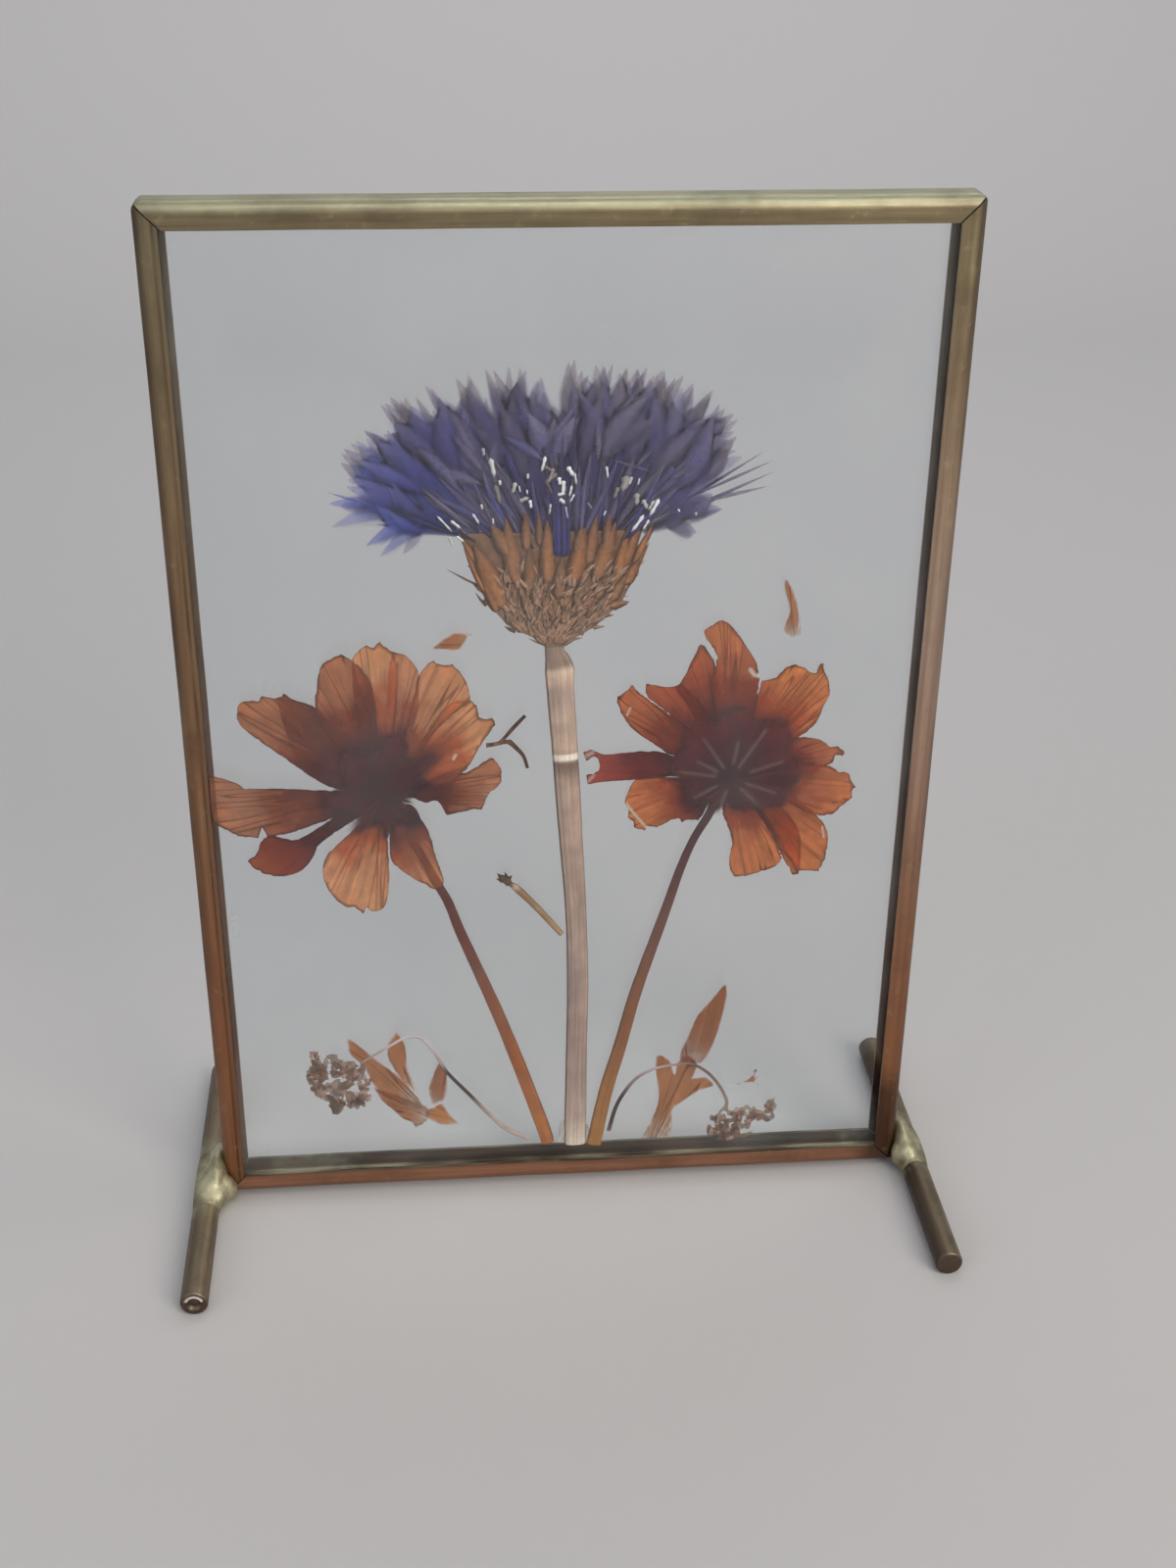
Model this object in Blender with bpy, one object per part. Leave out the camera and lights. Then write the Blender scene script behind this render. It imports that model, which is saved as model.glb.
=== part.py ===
# Pressed flowers between two panes of glass, in a standing frame of folded brass channel.
# Lengths are in millimetres and are turned into metres as the meshes are made.
# X runs across the frame, Y from front to back and Z up from the surface it stands on.

import math

import bmesh
import bpy
from mathutils import Matrix, Vector

MM = 0.001

# Frame of folded brass channel
FRAME_WIDTH = 91.0
FRAME_HEIGHT = 130.0
FRAME_LIFT = 0.8            # underside of the bottom channel above the surface
CHANNEL_DEPTH = 5.0         # front to back
CHANNEL_LIP = 3.0           # height of each leg of the U
CHANNEL_WALL = 0.4
CHANNEL_ROUND = 1.0         # outside radius of each fold
FOLD_STEPS = 4
MITRE_GAP = 0.2

# Feet: two round rods laid across the frame's lower corners
ROD_RADIUS = 1.75
ROD_LENGTH = 48.8
ROD_SIDES = 20
ROD_EDGE = 0.35             # rounding of the sawn ends
ROD_JOINT = 0.4             # between the rod and the channel it is soldered to
DIMPLE_RADIUS = 1.0         # punch mark in the front end of the left rod
DIMPLE_DEPTH = 0.3

# Solder lumps: middle in front of the frame's mid plane, and half extents
SOLDER_CLEARANCE = 0.15
SOLDER_LUMPS = {
    "solder_left": {"side": -1, "middle": (46.5, -1.9, 3.9), "reach": (2.9, 5.3, 3.4)},
    "solder_right": {"side": 1, "middle": (46.8, -1.6, 3.8), "reach": (2.5, 4.1, 3.2)},
}

# Glass
PANE_THICKNESS = 1.2
PANE_PLAY = 0.1             # between glass and channel, all round
PANE_ARRIS = 0.4

# The space between the panes holds seven thin layers of pressed plant
LAYER_FIRST = -0.675
LAYER_PITCH = 0.2
LAYER_THICKNESS = 0.15
SMOOTH_STEPS = 2            # short sides between two points of an outline
SMOOTH_WORTH = 0.07         # a point nearer than this to the straight side is left out
SHARP = True                # marks a point where an outline has a corner

# Cornflower
FLORET_COUNT = 30
FLORET_SPRING_Z = 90.4      # where the middle florets spring from the base
FLORET_SPRING_RISE = 2.4
FLORET_SPRING_SPAN = (-12.4, 9.6)
# place along the base, bearing from upright in degrees, length
FLORET_FAN = (
    (0.00, -82, 9.0), (0.04, -69, 17.2), (0.12, -55, 19.2), (0.24, -36, 22.0), (0.36, -24, 22.9),
    (0.48, -10, 23.4), (0.54, 0, 23.4), (0.66, 8, 22.1), (0.76, 17, 21.6), (0.86, 25, 20.6),
    (0.93, 33, 18.9), (0.965, 45, 15.6), (0.985, 61, 11.6), (1.00, 76, 6.6),
)
FLORET_LOBES = (0.88, 1.0, 0.95)            # how far each lobe of a floret reaches
FLORET_ROWS = (0.0, 0.24, 0.32, 0.62, 1.0)
BRACT_ROWS = 4
BRACTS_ACROSS = 7
# height, left side and right side of the swollen base under the florets
BASE_SECTIONS = (
    (79.6, -4.4, 1.9), (80.3, -6.7, 3.7), (81.4, -8.0, 5.2), (83.7, -9.5, 7.3), (86.4, -10.5, 8.4),
    (89.0, -11.0, 8.9), (91.4, -11.9, 9.0), (93.0, -13.1, 9.9), (94.4, -12.5, 10.1),
)
# middle of the stem and its half width, from the flower down
CORNFLOWER_STEM = (
    (-1.2, 79.4, 1.4), (-1.0, 77.6, 1.5), (-0.7, 75.6, 1.7), (-0.3, 70.0, 1.65), (0.1, 64.2, 1.6),
    (0.8, 53.0, 1.5), (1.5, 42.0, 1.35), (1.8, 31.0, 1.4), (1.7, 21.0, 1.4), (1.6, 7.4, 1.5),
    (1.6, 5.0, 1.45),
)
SIDE_SHOOT = (
    (-8.4, 47.7, 0.35), (-7.8, 47.2, 0.75), (-7.1, 46.6, 0.65), (-6.7, 46.2, 0.35), (-5.9, 45.5, 0.5),
    (-3.4, 42.6, 0.45), (-0.3, 38.5, 0.4),
)

# Cosmos flowers: outlines run round each petal, measured from the middle of its flower
LEFT_COSMOS_MIDDLE = (-22.1, 60.0)
LEFT_COSMOS_PETALS = {
    "left": (0, (
        (-2.8, 0.9), (-5.8, 0.7), (-12.7, 1.2), (-16.3, 1.4), (-18.1, 2.4), (-20.8, 3.4, SHARP),
        (-20.8, -3.2, SHARP), (-17.9, -5.2), (-15.4, -5.6, SHARP), (-14.9, -4.1, SHARP),
        (-14.3, -5.5, SHARP), (-11.4, -5.0), (-8.8, -4.1), (-4.0, -2.4), (-2.6, -0.9))),
    "upper_left": (1, (
        (-2.6, 1.3), (-5.8, 0.7), (-9.9, 3.6), (-14.6, 7.7), (-16.7, 10.0), (-16.6, 12.4),
        (-15.1, 12.9), (-14.1, 12.8, SHARP), (-13.9, 13.5, SHARP), (-12.7, 13.2), (-10.1, 12.8),
        (-7.6, 11.6), (-5.2, 7.6), (-2.4, 2.6))),
    "upper_left_inner": (2, (
        (-2.3, 1.9), (-6.6, 1.9), (-9.9, 4.2), (-11.0, 7.2), (-11.7, 10.4), (-12.2, 13.1, SHARP),
        (-11.4, 13.2), (-11.2, 13.7, SHARP), (-10.1, 12.8), (-7.6, 11.7), (-5.2, 8.6), (-1.9, 3.4))),
    "top_left": (0, (
        (-1.9, 2.4), (-3.4, 3.6), (-6.2, 8.2), (-7.6, 11.7), (-7.0, 16.0), (-6.4, 17.5),
        (-4.4, 18.6), (-3.4, 18.2), (-1.2, 15.8), (-0.4, 12.0), (-0.4, 7.0), (-0.8, 3.0))),
    "top": (1, (
        (-0.9, 2.8), (-2.1, 6.5), (-2.9, 12.0), (-3.0, 17.6), (-2.1, 19.0), (-1.2, 19.7, SHARP),
        (-0.4, 19.3), (0.4, 20.1, SHARP), (1.2, 19.2), (2.0, 18.3), (2.3, 14.2), (1.7, 9.0),
        (0.6, 3.0))),
    "top_right": (2, (
        (0.4, 2.9), (0.6, 6.0), (0.9, 11.0), (1.2, 16.0), (1.7, 18.6, SHARP), (3.0, 18.3),
        (4.0, 17.3), (4.8, 15.7), (4.6, 11.3), (3.1, 5.5), (1.5, 2.6))),
    "upper_right": (0, (
        (1.4, 2.5), (2.3, 5.5), (3.6, 10.7), (4.8, 15.6, SHARP), (5.5, 16.7), (6.6, 17.5),
        (7.2, 17.0), (8.1, 16.9), (8.7, 17.0, SHARP), (9.4, 16.3), (10.3, 14.8), (10.8, 12.2),
        (8.5, 10.2), (5.2, 6.4), (2.2, 2.2))),
    "right": (1, (
        (1.9, 1.9), (4.2, 6.0), (6.6, 9.9), (8.5, 11.9), (10.9, 12.1, SHARP), (11.6, 11.2),
        (11.8, 9.9, SHARP), (12.4, 9.6), (13.4, 9.7), (13.8, 8.8), (13.1, 7.8), (11.5, 5.2),
        (9.8, 2.4), (6.3, 0.4), (2.8, 0.6))),
    "lower_right": (2, (
        (2.5, 0.9), (6.0, 2.4), (9.8, 2.3), (12.6, 4.0), (13.4, 4.2), (14.3, 2.8), (14.5, 1.5),
        (14.1, 0.3), (13.0, -0.6), (12.3, -2.1), (11.9, -3.0, SHARP), (11.0, -2.8), (9.7, -3.1),
        (7.6, -3.6, SHARP), (7.0, -2.2), (6.2, -1.4), (5.2, -1.7, SHARP), (3.7, -1.1), (2.5, -0.5))),
    "folded": (0, (
        (1.2, -2.3), (3.2, -1.4), (4.5, -3.6), (5.5, -5.9), (6.2, -9.2), (7.0, -12.1),
        (6.9, -13.5, SHARP), (5.7, -13.8, SHARP), (3.5, -12.3), (0.7, -9.6), (0.5, -6.5),
        (0.6, -3.6))),
    "bottom": (1, (
        (-0.6, -2.8), (-2.6, -3.6), (-4.3, -5.4), (-7.1, -8.1), (-7.9, -10.5), (-7.6, -12.8),
        (-6.6, -14.7), (-5.3, -16.0), (-4.1, -16.2), (-3.2, -17.2, SHARP), (-2.7, -16.1, SHARP),
        (-2.0, -16.8), (-0.7, -16.4), (0.0, -14.7), (0.3, -11.8), (0.3, -7.7), (0.4, -3.2))),
    "lower_left": (2, (
        (-2.4, -1.6), (-5.0, -2.5), (-8.4, -4.8), (-11.2, -6.2), (-14.0, -5.3), (-15.3, -6.5),
        (-15.9, -8.0), (-17.1, -8.9, SHARP), (-16.4, -9.9), (-15.3, -10.8), (-13.5, -11.3),
        (-11.8, -11.2), (-10.2, -10.4), (-9.0, -8.9), (-8.1, -7.1), (-6.2, -5.5), (-2.0, -2.7))),
}
RIGHT_COSMOS_MIDDLE = (20.5, 60.6)
RIGHT_COSMOS_PETALS = {
    "top": (4, (
        (-0.8, 2.7), (-1.6, 6.0), (-2.4, 9.8), (-2.8, 13.4), (-2.3, 16.1, SHARP), (-3.8, 18.6),
        (-3.9, 19.4, SHARP), (-3.1, 20.1), (-2.0, 20.7), (-0.9, 20.3), (0.5, 18.6), (1.6, 16.8),
        (2.5, 15.3), (3.1, 13.0), (2.6, 8.5), (0.8, 2.8))),
    "top_left": (6, (
        (-1.7, 2.4), (-4.9, 8.3), (-7.2, 11.8), (-6.5, 12.5, SHARP), (-5.1, 15.6),
        (-4.2, 17.8, SHARP), (-3.5, 17.0), (-2.5, 15.4), (-1.7, 12.2), (-0.9, 7.0), (-0.7, 2.9))),
    "left_top": (5, (
        (-2.2, 2.4), (-5.3, 5.7), (-7.5, 8.2), (-9.3, 9.8), (-10.7, 11.0, SHARP),
        (-10.7, 12.7, SHARP), (-9.4, 12.4), (-8.0, 12.1), (-6.5, 12.4, SHARP), (-4.9, 11.1),
        (-2.0, 6.8), (-1.2, 3.2))),
    "upper_left": (4, (
        (-2.4, 1.9), (-5.8, 2.5), (-7.5, 3.0), (-9.2, 4.3), (-12.0, 6.5), (-13.4, 8.4),
        (-14.1, 9.9), (-14.2, 11.1, SHARP), (-13.4, 11.6), (-12.3, 12.7, SHARP), (-11.5, 11.6),
        (-8.7, 9.4), (-4.8, 6.3), (-2.0, 3.0))),
    "left": (6, (
        (-2.6, 0.2), (-5.0, 0.0), (-9.9, -0.5), (-15.2, -0.6), (-17.6, -0.9, SHARP),
        (-17.8, 0.4, SHARP), (-16.3, 1.0), (-16.2, 2.0), (-16.7, 2.9), (-17.8, 2.3, SHARP),
        (-18.2, 3.6), (-17.2, 3.9), (-15.6, 3.2), (-11.9, 3.5), (-8.6, 3.3), (-5.8, 2.3),
        (-2.6, 1.4))),
    "lower_left": (5, (
        (-1.9, -2.2), (-2.7, -4.7), (-3.7, -6.4), (-4.9, -6.3), (-5.8, -6.7, SHARP), (-6.2, -6.0),
        (-7.5, -6.5), (-8.9, -7.2), (-10.0, -7.0), (-10.4, -7.6, SHARP), (-11.8, -7.1, SHARP),
        (-11.9, -6.3), (-12.7, -5.6, SHARP), (-12.5, -4.6), (-13.0, -3.5), (-12.5, -1.8),
        (-11.7, -0.4), (-9.1, 0.1), (-5.0, -0.5), (-2.5, -0.7))),
    "bottom": (4, (
        (-0.5, -2.6), (-0.7, -5.4), (-0.1, -7.1), (0.6, -9.4), (0.4, -12.0), (0.5, -13.3),
        (1.1, -14.6, SHARP), (2.5, -14.6), (4.3, -14.1), (5.7, -13.7), (6.8, -12.9),
        (7.2, -12.1, SHARP), (6.3, -9.6), (4.4, -6.3), (1.3, -2.7))),
    "bottom_inner": (6, (
        (1.0, -2.6), (2.9, -4.8), (4.8, -7.4), (7.2, -12.1), (8.0, -13.6), (8.8, -15.0, SHARP),
        (9.5, -14.8), (9.7, -11.4), (9.1, -8.1), (6.9, -5.1), (2.2, -1.8))),
    "lower_right": (5, (
        (2.0, -1.8), (4.7, -6.2), (7.0, -10.6), (9.2, -14.3, SHARP), (10.6, -14.2),
        (12.1, -14.4, SHARP), (12.8, -12.5), (13.0, -9.9), (12.7, -8.2), (11.9, -6.9), (9.2, -4.2),
        (4.8, -1.4), (2.5, -0.7))),
    "right": (4, (
        (2.5, -0.8), (5.7, -2.8), (9.5, -5.5), (11.7, -6.2), (13.3, -6.0), (14.6, -4.7),
        (15.6, -3.8), (15.5, -2.7), (16.2, -2.3, SHARP), (15.4, -1.5), (15.0, -0.3),
        (14.2, 0.1, SHARP), (13.6, -0.1), (12.8, 0.7), (8.8, 1.4), (2.6, 0.7))),
    "right_top": (6, (
        (2.5, 0.5), (5.5, 0.0), (9.8, -0.2), (12.9, 1.0, SHARP), (13.2, 2.1), (14.0, 1.9),
        (14.3, 2.5), (13.5, 3.3, SHARP), (12.4, 3.2), (11.8, 3.9), (9.5, 4.7), (6.4, 4.5),
        (2.3, 1.7))),
    "upper_right": (5, (
        (0.9, 2.6), (2.3, 7.9), (3.0, 10.9), (3.4, 12.6, SHARP), (4.9, 12.9), (6.2, 14.2),
        (7.5, 14.6), (8.3, 14.3), (9.5, 13.4), (10.1, 13.8), (10.4, 14.8, SHARP), (10.9, 14.6),
        (11.1, 13.7), (11.6, 12.4), (11.9, 10.6), (11.3, 9.1), (10.6, 7.0), (9.4, 5.5),
        (6.5, 3.7), (2.3, 1.6))),
}
# Narrow bracts behind the left flower: bearing clockwise from upright, length, half width
LEFT_COSMOS_BRACTS = (
    (14, 9.1, 1.1), (56, 10.6, 1.3), (102, 6.4, 1.0), (155, 11.0, 0.9), (188, 8.0, 0.8),
    (222, 10.9, 0.8), (268, 11.5, 0.9), (322, 11.4, 1.3),
)
# Broad bracts in front of the right flower
RIGHT_COSMOS_BRACTS = (
    (2, 11.2, 1.9), (42, 11.3, 2.2), (88, 10.0, 1.9), (128, 8.4, 1.6), (172, 5.4, 0.8),
    (204, 6.2, 0.9), (238, 6.6, 1.0), (288, 8.4, 1.6), (328, 10.6, 1.8),
)
BRACT_WIDEST = 0.6          # share of a bract's length where it is widest
LEFT_BRACT_VALLEY = 0.27    # how far out two bracts part, as a share of their length
RIGHT_BRACT_VALLEY = 0.62
COSMOS_CORE = 2.0
# middle of each stem and its half width, from the flower down
LEFT_COSMOS_STEM = (
    (-21.9, 59.4, 0.6), (-19.0, 53.2, 0.6), (-16.0, 46.6, 0.6), (-14.6, 43.6, 0.62),
    (-13.3, 39.5, 0.68), (-11.3, 34.0, 0.75), (-8.5, 26.2, 0.85), (-5.6, 17.2, 0.92),
    (-2.7, 7.6, 0.95), (-2.1, 5.0, 0.9),
)
RIGHT_COSMOS_STEM = (
    (19.8, 61.6, 0.75), (18.9, 58.8, 0.7), (18.2, 55.9, 0.6), (16.2, 52.0, 0.55),
    (14.6, 47.6, 0.6), (12.9, 41.6, 0.68), (10.5, 33.5, 0.8), (9.1, 28.4, 0.85),
    (7.4, 20.9, 0.92), (5.6, 13.6, 0.98), (4.1, 5.0, 1.05),
)

# Broken pieces lying loose between the panes
LOOSE_PETAL = (
    (-15.9, 78.6, SHARP), (-15.0, 79.5), (-13.7, 80.4), (-12.6, 80.8), (-11.3, 80.7),
    (-10.5, 80.1), (-9.6, 78.9, SHARP), (-10.7, 79.8), (-11.2, 80.2), (-11.7, 79.4),
    (-12.4, 78.4), (-13.2, 78.3), (-14.5, 78.5),
)
LOOSE_FLORET = (
    (25.8, 86.6, SHARP), (26.5, 86.1), (27.4, 84.2), (28.0, 81.9), (28.4, 79.3, SHARP),
    (27.3, 78.8), (26.1, 79.7), (26.2, 80.8), (26.6, 82.2), (26.4, 83.4), (25.8, 85.4),
)
LOOSE_FILAMENT = (
    (-9.5, 66.1, SHARP), (-7.9, 66.4), (-6.4, 68.2), (-4.9, 69.8, SHARP), (-4.6, 69.5, SHARP),
    (-6.0, 67.9), (-7.2, 66.5, SHARP), (-6.5, 66.5), (-4.8, 64.3), (-4.3, 62.6, SHARP),
    (-4.7, 62.5, SHARP), (-5.2, 64.1), (-6.9, 65.9), (-7.8, 65.8), (-9.5, 65.5, SHARP),
)

# Small spray in the lower left corner: layer, then outline
LEFT_SPRIG_LEAVES = {
    "long": (3, (
        (-28.4, 24.4, SHARP), (-26.2, 22.2), (-23.7, 19.5), (-20.9, 16.9), (-19.1, 13.6),
        (-18.3, 11.6, SHARP), (-20.7, 11.9), (-22.9, 13.4), (-24.8, 15.3), (-26.3, 19.0),
        (-28.1, 21.4))),
    "upper": (4, (
        (-21.9, 24.7, SHARP), (-20.7, 22.3), (-20.5, 18.7), (-19.4, 15.0), (-19.0, 13.6, SHARP),
        (-21.3, 16.5), (-23.0, 19.8), (-23.1, 22.5))),
    "right": (4, (
        (-16.5, 19.5, SHARP), (-15.4, 18.4), (-15.4, 14.8), (-16.0, 13.0), (-17.6, 12.2, SHARP),
        (-18.0, 14.9), (-17.3, 17.6))),
    "low": (5, (
        (-25.4, 15.8, SHARP), (-23.2, 14.8), (-19.2, 12.7), (-17.6, 11.4), (-18.5, 9.4),
        (-20.1, 8.2, SHARP), (-20.3, 9.4), (-21.9, 10.5), (-22.9, 11.8), (-24.4, 13.5))),
}
LEFT_SPRIG_BASE = (
    (-18.4, 11.3), (-17.3, 11.9), (-16.1, 12.4), (-15.2, 10.6), (-13.8, 8.8, SHARP), (-15.1, 8.5),
    (-16.7, 8.8), (-18.5, 10.2),
)
LEFT_SPRIG_CLUSTER = (
    (-33.6, 21.7), (-31.4, 20.9), (-29.9, 20.6), (-26.7, 20.3), (-25.5, 18.1), (-25.0, 14.2),
    (-26.6, 13.1), (-28.9, 11.9), (-30.4, 11.5), (-31.4, 12.2), (-31.6, 13.8), (-33.5, 16.0),
    (-34.3, 17.7), (-33.7, 19.0),
)
LEFT_SPRIG_STEM = (
    (-26.7, 20.2, 0.2), (-24.8, 21.4, 0.2), (-22.5, 22.9, 0.22), (-20.6, 24.0, 0.25),
    (-18.8, 23.9, 0.28), (-17.7, 22.7, 0.28), (-16.6, 20.6, 0.25), (-15.3, 18.0, 0.28),
    (-12.4, 14.2, 0.3), (-9.8, 10.8, 0.32), (-7.6, 8.4, 0.4), (-4.7, 6.6, 0.3),
)

# Small spray in the lower right corner
RIGHT_SPRIG_LEAVES = {
    "long": (4, (
        (15.4, 18.3), (16.4, 21.7), (17.8, 25.3), (19.6, 27.8), (20.8, 29.5), (21.3, 30.2, SHARP),
        (21.6, 28.2), (21.2, 25.1), (20.2, 20.6), (18.8, 17.6), (16.9, 16.9))),
    "fan": (3, (
        (12.3, 19.3, SHARP), (14.2, 18.2), (14.9, 15.9, SHARP), (15.1, 17.7), (16.1, 19.1, SHARP),
        (17.3, 18.5), (18.1, 17.1, SHARP), (17.4, 15.0, SHARP), (19.3, 15.2), (20.5, 13.5, SHARP),
        (18.6, 12.9), (16.3, 11.2), (14.9, 9.8), (14.9, 7.5), (14.6, 5.2, SHARP),
        (10.4, 5.2, SHARP), (11.5, 7.7), (12.5, 10.4), (12.7, 13.2), (12.2, 17.0))),
}
RIGHT_SPRIG_CLUSTER = (
    (19.6, 6.4), (21.1, 8.5), (22.6, 9.4), (24.9, 9.5), (26.4, 9.3), (27.9, 11.0), (28.8, 10.4),
    (29.3, 9.0), (28.2, 7.6), (26.5, 7.8), (25.2, 6.4), (25.1, 4.2), (23.2, 4.1), (21.2, 4.2),
)
RIGHT_SPRIG_STEM = (
    (6.1, 7.3, 0.35), (7.0, 11.2, 0.3), (8.3, 13.9, 0.3), (9.8, 15.9, 0.28), (12.0, 17.2, 0.25),
    (14.6, 17.7, 0.22), (16.9, 17.8, 0.22), (19.2, 16.3, 0.25), (20.8, 14.2, 0.25),
    (21.9, 11.9, 0.25), (22.0, 10.6, 0.25), (21.2, 9.5, 0.22), (20.9, 7.6, 0.2),
)
RIGHT_SPRIG_TWIG = (
    (21.9, 14.1, SHARP), (23.9, 14.1), (25.1, 14.8), (25.7, 16.2, SHARP), (26.1, 16.1, SHARP),
    (25.9, 14.8), (26.6, 15.4, SHARP), (26.9, 15.1, SHARP), (25.9, 14.1), (27.3, 13.1, SHARP),
    (27.1, 12.7, SHARP), (25.3, 13.8), (23.9, 13.6), (21.9, 13.7, SHARP),
)


# ---- small helpers -------------------------------------------------------------------------

def clear_scene():
    for item in list(bpy.data.objects):
        bpy.data.objects.remove(item, do_unlink=True)


def material(name, colour, roughness, metallic=0.0):
    found = bpy.data.materials.new(name)
    found.use_nodes = True
    shader = found.node_tree.nodes["Principled BSDF"]
    shader.inputs["Base Color"].default_value = (*colour, 1.0)
    shader.inputs["Roughness"].default_value = roughness
    shader.inputs["Metallic"].default_value = metallic
    return found


def new_object(name, bm, look, smooth=True):
    mesh = bpy.data.meshes.new(name)
    bm.to_mesh(mesh)
    bm.free()
    if smooth:
        mesh.shade_smooth()
        mesh.set_sharp_from_angle(angle=math.radians(35))
    mesh.materials.append(look)
    thing = bpy.data.objects.new(name, mesh)
    bpy.context.scene.collection.objects.link(thing)
    return thing


def uneven(*places):
    # A repeatable value between 0 and 1 for the small irregularities of a plant
    mixed = sum(place * factor for place, factor in zip(places, (12.9898, 78.233, 37.719)))
    return (math.sin(mixed) * 43758.5453) % 1.0


def layer_front(layer):
    return LAYER_FIRST + layer * LAYER_PITCH


def layer_back(layer):
    return layer_front(layer) + LAYER_THICKNESS


def between(table, place):
    # Straight-line reading of a table whose first column rises
    for before, after in zip(table, table[1:]):
        if place <= after[0]:
            share = (place - before[0]) / (after[0] - before[0])
            return [a + (b - a) * share for a, b in zip(before[1:], after[1:])]
    return list(table[-1][1:])


def is_corner(point):
    return len(point) == 3


def curve_point(a, b, leaving, arriving, t):
    # Hermite curve from a to b
    square, cube = t * t, t * t * t
    return ((2 * cube - 3 * square + 1) * a + (cube - 2 * square + t) * leaving
            + (3 * square - 2 * cube) * b + (cube - square) * arriving)


def smooth_outline(points):
    # Rounds a closed outline, and keeps the corners that are marked
    count = len(points)
    flat = [Vector(point[:2]) for point in points]
    outline = []
    for i in range(count):
        a, b = flat[i], flat[(i + 1) % count]
        leaving = b - a if is_corner(points[i]) else (b - flat[i - 1]) * 0.5
        arriving = b - a if is_corner(points[(i + 1) % count]) else (flat[(i + 2) % count] - a) * 0.5
        straight = (b - a).length
        for pull in (leaving, arriving):
            if pull.length > straight:
                pull.length = straight
        for step in range(SMOOTH_STEPS):
            spot = curve_point(a, b, leaving, arriving, step / SMOOTH_STEPS)
            off_line = abs((b - a).normalized().cross(spot - a))
            if step == 0 or off_line > SMOOTH_WORTH:
                outline.append(spot)
    return outline


def sheet(name, outline, front, back, look):
    # A flat solid of this outline between two depths
    bm = bmesh.new()
    corners = [bm.verts.new((x * MM, front * MM, z * MM)) for x, z in outline]
    face = bm.faces.new(corners)
    pushed = bmesh.ops.extrude_face_region(bm, geom=[face])
    moved = [item for item in pushed["geom"] if isinstance(item, bmesh.types.BMVert)]
    bmesh.ops.translate(bm, verts=moved, vec=(0.0, (back - front) * MM, 0.0))
    bmesh.ops.recalc_face_normals(bm, faces=bm.faces)
    return new_object(name, bm, look, smooth=False)


def slab(name, columns, rows, place, look):
    # A closed solid of two gridded faces; place gives a point from column, row and face
    bm = bmesh.new()
    faces = []
    for side in (0, 1):
        faces.append([[bm.verts.new(Vector(place(c, r, side)) * MM) for r in range(rows)]
                      for c in range(columns)])
    front, back = faces
    for c in range(columns - 1):
        for r in range(rows - 1):
            bm.faces.new((front[c][r], front[c + 1][r], front[c + 1][r + 1], front[c][r + 1]))
            bm.faces.new((back[c][r], back[c][r + 1], back[c + 1][r + 1], back[c + 1][r]))
    rim = [(c, 0) for c in range(columns)] + [(columns - 1, r) for r in range(1, rows)]
    rim += [(c, rows - 1) for c in range(columns - 2, -1, -1)] + [(0, r) for r in range(rows - 2, 0, -1)]
    for here, there in zip(rim, rim[1:] + rim[:1]):
        a, b = front[here[0]][here[1]], front[there[0]][there[1]]
        c, d = back[there[0]][there[1]], back[here[0]][here[1]]
        bm.faces.new((b, a, d, c))
    bmesh.ops.recalc_face_normals(bm, faces=bm.faces)
    return new_object(name, bm, look)


def stalk(name, path, depth, half_depth, look, sides=8, steps=SMOOTH_STEPS):
    # A flattened stalk: oval rings square to a smooth run through the path's points
    flat = [Vector(point[:2]) for point in path]
    rings = []
    for i in range(len(path) - 1):
        leaving = (flat[i + 1] - flat[max(i - 1, 0)]) * 0.5
        arriving = (flat[min(i + 2, len(path) - 1)] - flat[i]) * 0.5
        for step in range(steps):
            t = step / steps
            middle = curve_point(flat[i], flat[i + 1], leaving, arriving, t)
            rings.append((middle, path[i][2] + (path[i + 1][2] - path[i][2]) * t))
    rings.append((flat[-1], path[-1][2]))
    bm = bmesh.new()
    rows = []
    for i, (middle, half_width) in enumerate(rings):
        along = (rings[min(i + 1, len(rings) - 1)][0] - rings[max(i - 1, 0)][0]).normalized()
        across = Vector((-along.y, along.x))
        row = []
        for k in range(sides):
            turn = 2 * math.pi * (k + 0.5) / sides
            spot = middle + across * half_width * math.cos(turn)
            row.append(bm.verts.new((spot.x * MM, (depth + half_depth * math.sin(turn)) * MM,
                                     spot.y * MM)))
        rows.append(row)
    for near, far in zip(rows, rows[1:]):
        for k in range(sides):
            bm.faces.new((near[k], near[(k + 1) % sides], far[(k + 1) % sides], far[k]))
    bm.faces.new(rows[0])
    bm.faces.new(rows[-1])
    bmesh.ops.recalc_face_normals(bm, faces=bm.faces)
    return new_object(name, bm, look)


def guide(thing):
    # Shapes that only cut or join others are not part of the object
    thing.hide_render = True
    thing.display_type = "WIRE"
    return thing


def boolean(thing, other, operation):
    change = thing.modifiers.new(operation.lower(), "BOOLEAN")
    change.operation = operation
    change.object = other
    change.solver = "EXACT"


# ---- frame ---------------------------------------------------------------------------------

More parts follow.
